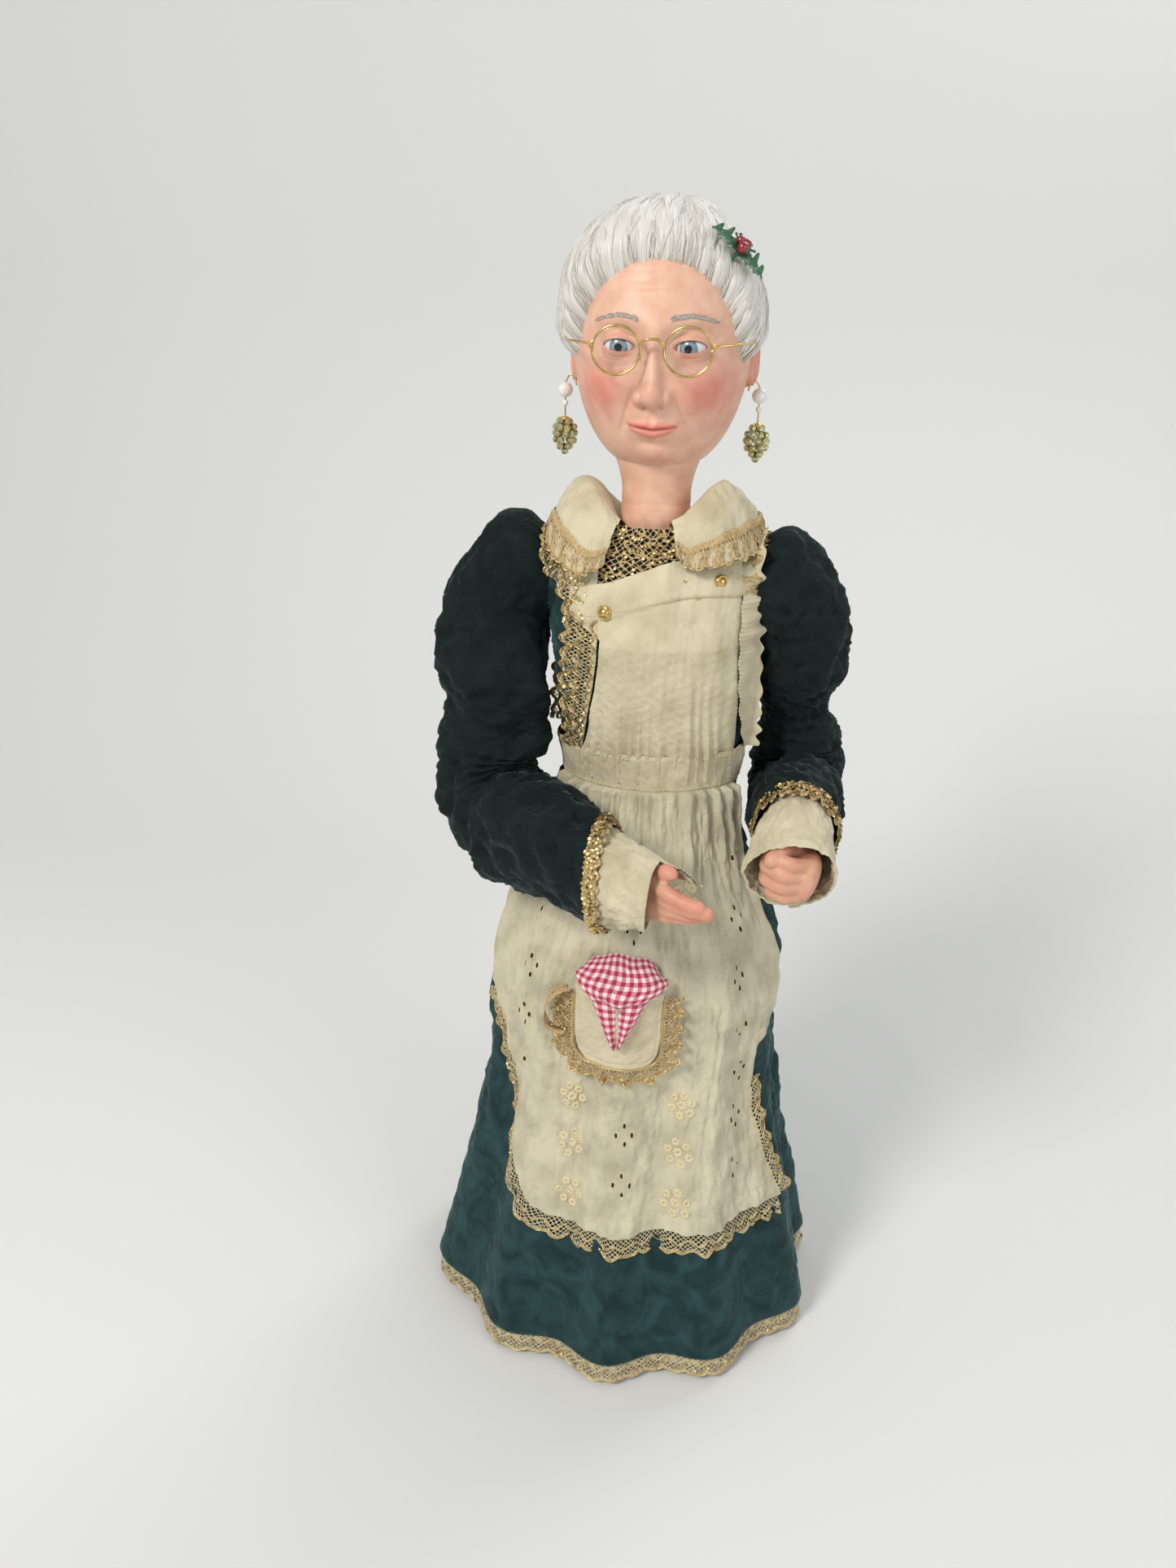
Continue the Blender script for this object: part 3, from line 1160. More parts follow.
def make_pocket_lace():
    half = POCKET_WIDE / 2 - 0.5
    left, right, low = POCKET_X - half, POCKET_X + half, POCKET_TOP_Z - POCKET_DEEP + 1.0
    bend = 9.0
    turn = np.linspace(0, math.pi / 2, 12)
    run = [(left, POCKET_TOP_Z - 3 - k * 1.5) for k in range(20)]
    run += [(left + bend - bend * math.cos(a), low + bend - bend * math.sin(a)) for a in turn]
    run += [(x, low) for x in np.linspace(left + bend + 1, right - bend - 1, 20)]
    run += [(right - bend + bend * math.sin(a), low + bend - bend * math.cos(a)) for a in turn]
    run += [(right, low + bend + 1 + k * 1.5) for k in range(21)]
    run = np.array(run)
    gaps = lengths_along(run)
    ways = unit(np.gradient(run, axis=0))
    out_way = np.stack([ways[:, 1], -ways[:, 0]], -1)
    fullness, deep, pitch = 1.55, 10.5, 7.2

    def beside(u, v, lift):
        s = u / fullness
        x, z, out_x, out_z = (np.interp(s, gaps, values) for values in (*run.T, *out_way.T))
        gather = math.tau * u / 15.0 + 1.2 * np.sin(u / 21)
        swing = 1.6 * np.cos(gather) * v / deep
        stand = 1.2 + (v / deep) * (2.4 + 2.4 * np.sin(gather))
        x, z = x + out_x * v * 0.9 - out_z * swing, z + out_z * v * 0.9 + out_x * swing
        return on_apron(x, z, stand + lift)

    length = gaps[-1] * fullness
    lace, gilt = Work(), Work()
    lay_edging(lace, length, deep, pitch, beside)
    u = np.linspace(0, length, 420)
    gilt.tube(beside(u, edging_run(u, deep, pitch, 0.35), 0.4), 0.55, 5)
    gilt.tube(beside(u, 0.8 + 0 * u, 0.5), 0.45, 5)
    at = np.arange(0.8, length, 1.7)
    for inset, seed in ((1.3, 72), (3.4, 73)):
        sequin_row(gilt, beside, at, np.clip(edging_run(at, deep, pitch, inset), 0, deep), 0.6, 0.8, seed)
    t, w = crossed((0, 1, 50), (-1, 1, 13))
    loop_x = left - 3.5 - 7.5 * np.sin(math.pi * t) ** 0.8 + 1.4 * w
    loop_z = POCKET_TOP_Z - 15 + 12.5 * np.cos(math.pi * t) + 1.5 * np.sin(3 * w)
    lace.grid(
        on_apron(loop_x + 1.2 * w * np.cos(math.pi * t), loop_z, 2.5 + 5.5 * np.sin(math.pi * t) + 3.6 * w)
    )
    lace.make("pocket_lace_cloth", tan_thread, "torso", "gold_lace", ("pocket_lace",))
    gilt.make("pocket_lace_gilt", gilt_thread, "torso", "gold_lace")


def make_kerchief():
    kerchief = Work()
    share, rise = crossed((-1, 1, 81), (-1, 1, 61))
    top = 12.0 * np.sqrt(np.clip(1 - share**2, 0, 1)) ** 0.7
    x = POCKET_X + 1 + 20.5 * share * (1 - 0.10 * rise**2) + 1.2 * np.sin(rise * 3 + share * 2)
    z = POCKET_TOP_Z + 7 + rise * top + 0.6 * np.cos(share * 7 + 1)
    dome = np.sqrt(np.clip(1 - rise**2, 0, 1)) ** 0.8 * np.sqrt(np.clip(1 - share**2, 0, 1)) ** 0.6
    spread = xyz(x, 0 * x, z)
    folds = (
        1.6 * np.cos(share * 9 + rise * 1.6 + 0.8) * ease(-rise, -0.7, 0.8) + 0.9 * ripple(spread, 10.0, 75)
    )
    kerchief.grid(on_apron(x, z, 1.4 + 12.0 * dome + folds * dome))
    for side in (-1, 1):
        u, v = crossed((0, 1, 33), (0, 1, 49))
        wide = 12.0 * (1 - v) ** 0.8 + 1.6
        x = POCKET_X + 0.5 + side * (0.25 + 1.3 * (1 - v) * v + u * wide)
        z = POCKET_TOP_Z + 1 - 31 * v + 5.0 * u * (1 - v) * v + 2.0 * u * v
        hollow = (
            3.4 * np.sin(math.pi * np.clip(u * 1.05, 0, 1)) * (1 - 0.45 * v) + 0.8 * np.cos(7 * u + 3 * v)
        )
        rim = -1.2 * np.exp(-u / 0.08) - 0.8 * np.exp(-(1 - u) / 0.08)
        kerchief.grid(on_apron(x, z, 4.2 + 2.6 * (1 - v) + hollow + rim), turned=side < 0)
    cloth = kerchief.make("kerchief_cloth", check_finish(), "torso", "gingham", ("pocket_kerchief",))


make_pocket()
make_pocket_lace()
make_kerchief()


# Collar and the lace at the throat.
# A wide soft cream collar in two wings stands up beside the neck, with wavy tan lace sewn along its edge.
# The gap between the wings is filled with gilt-spangled lace over dark green cloth.
def collar_edge(side, share):
    """The outer edge of one wing from the throat (0) round to the middle of the back (1)."""
    stops = np.array([0.0, 0.10, 0.22, 0.34, 0.46, 0.6, 0.75, 0.88, 1.0])
    if side < 0:
        first_x, first_z = [20.5, 26.0, 35.5, 46.5], [449.0, 444.5, 444.5, 450.0]
    else:
        first_x, first_z = [12.5, 21.0, 34.0, 46.0], [453.0, 450.5, 451.0, 454.0]
    x = np.array([*first_x, 54.5, 52.0, 41.0, 22.0, 0.0])
    y = np.array([-30.0, -34.0, -31.0, -21.0, -3.0, 16.0, 31.0, 38.5, 40.0])
    z = np.array([*first_z, 458.0, 460.0, 452.0, 445.5, 443.0])
    fine = np.linspace(0, 1, 200)
    smooth = []
    kernel = np.exp(-(np.linspace(-2, 2, 17) ** 2))
    kernel /= kernel.sum()
    for values in (x, y, z):
        dense = np.interp(fine, stops, values)
        padded = np.concatenate([2 * dense[0] - dense[8:0:-1], dense, 2 * dense[-1] - dense[-2:-10:-1]])
        smooth.append(np.interp(share, fine, np.convolve(padded, kernel, "valid")))
    return xyz(side * smooth[0], smooth[1], smooth[2])


def collar_point(side, share, out, lift=0.0):
    share, out, lift = together(share, out, lift)
    start = 0.66 if side < 0 else 0.42
    turn = side * (start + share * (math.pi - start))
    seam_z = 463.2 + 1.5 * np.sin(share * math.pi) - 9 * np.clip(0.2 - share, 0, 1)
    seam = xyz(np.sin(turn) * 19.5, 1.0 - np.cos(turn) * 19.5, seam_z)
    rim = collar_edge(side, share)
    roll = np.clip(out / 0.42, 0, 1)
    rise = 9.0 + 15.0 * bell(share - 0.36, 0.25)
    middle = seam + (rim - seam) * out[..., None]
    arch = np.sin(np.clip(out, 0, 1) ** 0.8 * math.pi) ** 0.6 * (0.7 + 0.3 * roll)
    middle[..., 2] += rise * arch * 1.1
    wave = np.sin(share * 25 + 1.4 * np.sin(share * 9) + side) * 1.5 + 0.8 * np.sin(share * 47 + 2)
    face = xyz(np.sin(turn) * 0.55, -np.cos(turn) * 0.55, 0.75 + 0 * turn)
    crumple = 0.7 * ripple(middle, 12.0, 81) + 0.5 * (0.5 - np.abs(ripple(middle, 7.0, 82, 2)))
    return middle + face * (wave * out**2 + crumple * np.clip(out * 3, 0, 1) + lift)[..., None]


def make_collar():
    wings, lace, gilt = Work(), Work(), Work()
    deep, pitch = 9.0, 6.6
    for side in (-1, 1):
        out, share = crossed((0, 1, 41), (0, 1, 121))
        hem = 0.45 * ease(out, 0.93, 0.94) - 0.3 * bell(out - 0.925, 0.012)
        wings.grid(collar_point(side, share, out, hem), turned=side < 0)
        rim = collar_point(side, np.linspace(0, 1, 160), 1.0)
        length = float(np.linalg.norm(np.diff(rim, axis=0), axis=1).sum()) * 1.18

        def along(u, v, lift):
            wave = 1.1 * np.sin(math.tau * u / 11.5) * v / deep
            return collar_point(side, u / length, 0.88 + 0.021 * v, 0.7 + wave + lift)

        lay_edging(lace, length, deep, pitch, along, 0.36)
        u = np.linspace(0, length, 300)
        gilt.tube(along(u, edging_run(u, deep, pitch, 0.3), 0.3), 0.4, 5)
    collar = wings.make("collar_cloth", cream_cotton, "torso", "cotton", ("collar",))
    trim = lace.make("collar_lace", tan_thread, "torso", "lace")
    cord = gilt.make("collar_gilt", gilt_thread, "torso", "lace")


def make_throat():
    low, wide, tall = 434.0, 44.0, 28.0
    share, rise = crossed((-1, 1, 41), (0, 1, 33))
    z = low + tall * rise
    panel = trunk_point(share * (0.62 + 0.1 * rise), z, 3.6)
    green = Work()
    green.grid(panel)
    inset = green.make("throat_cloth", dark_velvet, "torso", "gold_lace", ("neck_lace",))
    lace, gilt = Work(), Work()

    def over(u, v, lift):
        return trunk_point((u / wide - 0.5) * 1.5, low + v, 4.4 + lift + 0.5 * np.sin(u * 0.9 + v * 0.4))

    def thread(u, v):
        petal = near_line((np.hypot((u + 1.2 * v) % 9.0 - 4.5, v % 8.0 - 4.0) - 2.4), 0.7)
        return np.maximum(
            np.maximum(net(u, v, 2.6, 0.36), petal), near_line(v % 8.0 - 0.6 - 0.6 * np.sin(u), 0.7)
        )

    lay_lace(lace, wide, tall, 0.33, thread, over)
    lace.make("throat_lace", tan_thread, "torso", "gold_lace")
    chance = np.random.default_rng(85)
    u = wide * chance.uniform(0.05, 1, 170) ** 0.7
    v = 5 + (tall - 6) * chance.uniform(0, 1, 170) ** 1.5
    sequin_row(gilt, over, u, v, 0.7, 0.85, 86)
    gilt.make("throat_gilt", gilt_thread, "torso", "gold_lace")


make_collar()
make_throat()


# Sleeves.
# Dark green velvet tubes, gathered into the armholes so that they puff over the shoulders.
# They are cut long and loose, so the cloth crumples down the arm and bunches inside the elbow.
ARMS = {
    "right": dict(side=-1, down=(-9.0, -23.0, -112.0), fore=(0.66, -0.75, 0.0), upper=30.5, lower=25.5),
    "left": dict(side=1, down=(8.0, 34.5, -109.0), fore=(-0.03, -1.0, 0.0), upper=26.0, lower=23.5),
}
UPPER_ARM, FOREARM, SLEEVE_END, CUFF_END = 115.0, 106.0, 96.0, 131.0
for arm in ARMS.values():
    arm["shoulder"] = np.array([73.0 * arm["side"], SHOULDER_Y, SHOULDER_Z])
    for way in ("down", "fore"):
        arm[way] = unit(np.array(arm[way]))
    arm["elbow"] = arm["shoulder"] + arm["down"] * UPPER_ARM
    arm["pin"] = unit(np.cross(arm["down"], arm["fore"]))
PUFF = {
    "right": [
        (50.5, 452.0), (57, 462), (66, 468.5), (77, 467), (88, 458), (98, 445), (105, 427), (109, 408),
        (108.5, 388)
    ],
    "left": [
        (50.5, 452.0), (56, 462), (64, 466.0), (73, 463), (82, 455), (90, 443), (97, 425), (100.5, 405),
        (101, 388)
    ],
}


def smooth_run(points, count):
    points = np.asarray(points, float)
    gaps = lengths_along(points)
    padded_gaps = np.linspace(0, gaps[-1], count)
    dense = points_at(padded_gaps, gaps, points)
    for _ in range(count // 5):
        dense[1:-1] = (dense[:-2] + 2 * dense[1:-1] + dense[2:]) / 4
    return dense


PUFF_RINGS, HANG_RINGS, BEND_RINGS, FOREARM_RINGS = 40, 29, 34, 35


def sleeve_rings(word):
    """Each ring is an inner point, an outer point, and how far the cloth reaches to each side of them."""
    arm = ARMS[word]
    side, down, fore, elbow, pin = arm["side"], arm["down"], arm["fore"], arm["elbow"], arm["pin"]
    outer_run = smooth_run(PUFF[word], PUFF_RINGS)
    armpit = [(50.0, 413.0), (52.0, 411.5), (53.2, 409.0), (53.3, 402.0), (53.3, 392.0), (53.4, 381.0)]
    inner_run = smooth_run(armpit, PUFF_RINGS)
    rings = []
    for k in range(PUFF_RINGS):
        share = k / (PUFF_RINGS - 1)
        ease_out = math.sin(share * math.pi / 2)
        middle_y = SHOULDER_Y + down[1] * 50 * share**2
        reach = ARMHOLE + (arm["upper"] * 0.97 - ARMHOLE) * ease_out
        inner, outer = (np.array([side * run[k][0], middle_y, run[k][1]]) for run in (inner_run, outer_run))
        rings.append((inner, outer, np.array([0.0, 1.0, 0.0]) * reach))
    pivot = elbow + 27.0 * (fore - down) * (arm["lower"] / 25.5)
    radius = arm["lower"]
    first_inner, first_outer, first_reach = rings[-1]
    bend = []
    for k in range(BEND_RINGS):
        beta = k / (BEND_RINGS - 1) * math.pi / 2
        out = -fore * math.cos(beta) + down * math.sin(beta)
        far_out = 2 * radius + 3 + 9 * math.sin(2 * beta)
        bend.append((pivot + out * 2.0, pivot + out * far_out, pin * (radius + 0.5)))
    sign = 1 if bend[0][2] @ first_reach > 0 else -1
    for k in range(1, HANG_RINGS + 1):
        straight = k / (HANG_RINGS + 1)
        share = ease(np.array(straight), 0, 1)
        inner = first_inner + (bend[0][0] - first_inner) * straight
        outer = first_outer + (bend[0][1] - first_outer) * straight
        rings.append((inner, outer, first_reach * (1 - share) + bend[0][2] * sign * share))
    rings += [(inner, outer, reach * sign) for inner, outer, reach in bend]
    start = 27.0 * radius / 25.5
    for k in range(1, FOREARM_RINGS + 1):
        share = k / FOREARM_RINGS
        along = start + (SLEEVE_END + 2 - start) * share
        settle = radius + 1.2 * (1 - share)
        middle = elbow + fore * along
        under = down_flat(down, fore) * settle
        rings.append(
            (middle - under, middle + under * (1 + 0.25 * (1 - share)), pin * sign * (settle - 0.4))
        )
    return rings


def down_flat(down, fore):
    return unit(down - fore * (down @ fore))


def wrist_lay(word, points):
    """Where a point of a straight forearm lies once its sleeve and cuff are pushed along and flattened."""
    arm = ARMS[word]
    fore, elbow = arm["fore"], arm["elbow"]
    far = np.array([-fore[1], fore[0], 0.0])
    local = points - elbow
    along, aside, above = local @ fore, local @ far, local[..., 2]
    share, past = ease(along, 42, SLEEVE_END), np.clip((along - SLEEVE_END) / 36, 0, 1.25)
    if word == "right":
        longer = share * (12 - 20 * aside / 25 - 4 * above / 25) + past * (8 * aside + 6 * above) / 25
        aside = aside * (1 - 0.13 * share - 0.42 * past) + 3.2 * share + 4.2 * past
        above = above * (1 - 0.08 * share - 0.22 * past) + 4.5 * past
    else:
        longer = -11 * share + past * (3 + 7 * above / 25)
        aside = aside * (1 - 0.14 * share - 0.03 * past) + 1.5 * share - 3.0 * past
        above = above * (1 - np.where(above > 0, 0.42, 0.2) * past) + 3.5 * share - 6.0 * past
        roll = 0.26 * past
        cos_roll, sin_roll = np.cos(roll), np.sin(roll)
        aside, above = aside * cos_roll - above * sin_roll, above * cos_roll + aside * sin_roll
    along = along + longer
    return (
        elbow + fore * along[..., None] + far * aside[..., None] + np.array([0, 0, 1.0]) * above[..., None]
    )


def make_sleeve(word):
    arm = ARMS[word]
    side = arm["side"]
    rings = sleeve_rings(word)
    sides, split = 84, 54
    bend_ring, forearm_ring = PUFF_RINGS + HANG_RINGS + BEND_RINGS // 2, PUFF_RINGS + HANG_RINGS + BEND_RINGS
    around = full_turn(sides)
    across, aside = np.cos(around)[:, None], np.sin(around)[:, None]
    surface = np.stack([(i + o) / 2 + across * (o - i) / 2 + aside * reach for i, o, reach in rings])
    middle = surface.mean(1, keepdims=True)
    normal = unit(surface - middle)
    step = np.linalg.norm(np.diff(middle[:, 0], axis=0), axis=1)
    run = np.concatenate([[0], np.cumsum(step)])[:, None]
    gathers = 1.3 * np.exp(-run / 16.0) * np.cos(30 * around + 2 * np.sin(3 * around))
    gathers = (
        gathers * np.clip(run / 4, 0, 1)
        + 0.9 * np.exp(-((run[-1] - run) / 9.0)) * np.cos(26 * around + np.sin(4 * around))
    )
    crushed = 0.62 - np.sqrt((ripple(surface, 30.0, 91 + side, 2) * 1.25) ** 2 + 0.02)
    small = 0.6 - np.sqrt((ripple(surface * (1, 1, 1.5), 14.0, 95 + side, 2) * 1.2) ** 2 + 0.04)
    sag = ripple(surface * (0.6, 0.6, 1.3), 44.0, 99 + side, 1)
    free = np.clip(run / 22, 0, 1) * np.clip((run[-1] - run) / 14, 0.1, 1)
    inside = np.clip(-np.cos(around), 0, 1)
    bend_at = bell(run - run[bend_ring], 26)
    bunch = bend_at * inside * 2.6 * np.cos(run * 0.62 + 1.2 * np.sin(3 * around))
    push = gathers + free * (2.3 * crushed + 1.5 * small + 2.2 * sag) + bunch
    surface = surface + normal * push[..., None]
    surface[forearm_ring:] = wrist_lay(word, surface[forearm_ring:])
    level, ahead = surface[..., 2], -surface[..., 1]
    in_front = ease(ahead, 4, 22) * ease(level, 338, 350) * (1 - ease(level, 408, 426))
    fold_in = (15.0 if side < 0 else 9.0) * np.clip(-np.cos(around), 0, 1) ** 0.7 * in_front
    surface[..., 0] -= side * fold_in * bell(level - 374, 36)
    beside_body = (level < 430) & (np.arange(len(rings)) < bend_ring - 2)[:, None] & (run > 12)
    wide, deep = (trunk_size(level, column) + 11.0 for column in (1, 2))
    wide = wide + hip_out(float(side), level)
    body_x = wide * np.sqrt(np.clip(1 - (ahead / deep) ** 2, 0, 1))
    clear = (
        53.0 + (np.clip(body_x, 30, 55.5 if side > 0 else 53) - 53.0) * in_front
        + 0.3 * np.abs(ripple(surface, 12.0, 98))
    )
    inner_x = np.maximum(surface[..., 0] * side, clear)
    surface[..., 0] = np.where(beside_body, side * inner_x, surface[..., 0])
    whole = Work()
    whole.grid(surface, around=True, turned=(side < 0))
    sample = whole.make("sleeve_sample", dark_velvet, None, "velvet")
    sample.data.update()
    normals = np.array([v.normal for v in sample.data.vertices]).reshape(surface.shape)
    bpy.data.objects.remove(sample)
    for part, rows in (("upper", slice(0, split + 1)), ("lower", slice(split, len(rings)))):
        tube = Work()
        tube.grid(surface[rows], around=True, turned=(side < 0))
        made = tube.make("%s_%s_sleeve_cloth" % (word, part), dark_velvet, None, "velvet")
        made.data.normals_split_custom_set_from_vertices(normals[rows].reshape(-1, 3).tolist())
        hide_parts("%s_%s_sleeve" % (word, part))
        if part == "upper":
            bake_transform(made)
        else:
            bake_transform(made)


for arm_word in ARM_WORDS:
    make_sleeve(arm_word)


# Sleeve braid, cuffs and hands.
# A spangled gilt braid closes each sleeve, and a wide cream cuff with a slit stands out from under it.
# The hands are vinyl mouldings plugged onto the arm bars: the right one open, the left one loosely closed.
def paint_mark(finish):
    """How strongly each point is painted, which the mesh carries as its mark."""
    mark = finish.node("Attribute")
    mark.attribute_name = "mark"
    return mark.outputs["Fac"]


def skin_finish(name, shaded, lit):
    finish = Finish(name, lit, 0.46, Subsurface_Weight=0.06, Subsurface_Scale=0.004, Specular_IOR_Level=0.4)
    base = finish.ramp(finish.noise(120.0, 3.0), [(0.3, shaded), (0.62, lit)])
    rosy = (0.66, 0.13, 0.11, 1.0)
    finish.paint(finish.node("MixRGB", Fac=paint_mark(finish), Color1=base, Color2=rosy).outputs["Color"])
    finish.bump(finish.noise(2600.0, 2.0), 0.00008, 0.5)
    return finish.material


vinyl_skin = skin_finish("vinyl_skin", (0.66, 0.36, 0.25), (0.74, 0.46, 0.33))
hand_vinyl = skin_finish("hand_vinyl", (0.56, 0.29, 0.185), (0.65, 0.375, 0.25))
nail_vinyl = speckled_finish("nail_vinyl", (0.70, 0.38, 0.30), (0.80, 0.52, 0.42), 0.28, 0.003)


def make_cuff(word):
    arm = ARMS[word]
    side, fore, elbow, radius = arm["side"], arm["fore"], arm["elbow"], arm["lower"]
    wrapped = word == "right"
    upward = np.array([0.0, 0.0, 1.0])
    far = np.cross(upward, fore)

    def on_arm(distance, turn, out):
        turn, distance, out = np.broadcast_arrays(turn, distance, out)
        straight = elbow + fore * distance[..., None]
        straight = (
            straight + (upward * np.cos(turn)[..., None] + far * np.sin(turn)[..., None]) * out[..., None]
        )
        return wrist_lay(word, straight)

    deep = 9.0 if wrapped else 7.5
    length = math.tau * radius
    lace, gilt = Work(), Work()

    def along_end(u, v, lift):
        ruck = 0.7 * np.sin(u * 0.46 + 1.7 * np.sin(u * 0.11)) * np.sin(v * 0.35)
        return on_arm(SLEEVE_END - 2.0 + v, u / radius, radius + 0.9 - 0.10 * v + ruck + lift)

    lay_edging(lace, length, deep, 6.2, along_end, 0.36)
    chance = np.random.default_rng(120 + side)
    for row, share in enumerate((0.8, 2.6, 4.4, 6.4)):
        u = np.arange(0.4, length, 2.1) + chance.uniform(-0.4, 0.4)
        v = share + 0.5 * np.sin(u * 1.01 + row) + chance.uniform(-0.3, 0.3, len(u))
        sequin_row(gilt, along_end, u, v, 0.7, 1.1, 100 + row + side)
    for u in np.arange(26) / 26 * length:
        gilt.bead(along_end(np.array(u), np.array(3.4 + 1.6 * math.sin(u)), np.array(1.0)), 0.95, 7, 4)
    lace.make(
        word + "_sleeve_lace_tan", tan_thread, word + "_forearm", "gold_lace", (word + "_sleeve_lace",)
    )
    gilt.make(word + "_sleeve_sequins", gilt_thread, word + "_forearm", "gold_lace")

    across, share = crossed((0, 1, 190), (0, 1, 60))
    if wrapped:
        first = -0.6 + 0.42 * share
        last = -0.95 - math.tau + 1.75 * share**1.3
        corner = 3.0 * np.exp(-across / 0.06) + 31.0 * np.exp(-(1 - across) / 0.10)
        root, rim = radius - 3.4, radius - 0.6
    else:
        first = -math.pi + 0.15
        last = first - math.tau - 0.3 + 0 * share
        corner = 0 * across
        root, rim = radius - 4.5, radius + 2.2
    turn = first + (last - first) * across
    reach = CUFF_END - 2.0 + corner - (SLEEVE_END - 6)
    distance = SLEEVE_END - 6 + share * reach
    flare = root + (rim - root) * share**0.8 + 1.0 * (1 - 2 * across)
    around_cloth = xyz(np.cos(turn) * 23, np.sin(turn) * 23, distance)
    creases = 0.8 * ripple(around_cloth, 14.0, 111 + side) + 0.35 * ripple(around_cloth, 5.0, 113 + side, 2)
    hem = 0.5 * ease(share, 0.86, 0.87) - 0.35 * bell(share - 0.85, 0.012)
    out = flare + creases * np.clip(share * 3, 0.2, 1) + hem
    edge_turn = on_arm(distance[-1:] - 0.2, turn[-1:], out[-1:] - 0.9)
    inner = on_arm(distance[::-1][:20] - 0.4, turn[::-1][:20], out[::-1][:20] - 1.3)
    cuff = Work()
    cuff.grid(np.concatenate([on_arm(distance, turn, out), edge_turn, inner]), turned=True)
    cloth = cuff.make(word + "_cuff_cloth", cream_cotton, word + "_forearm", "cotton", (word + "_cuff",))


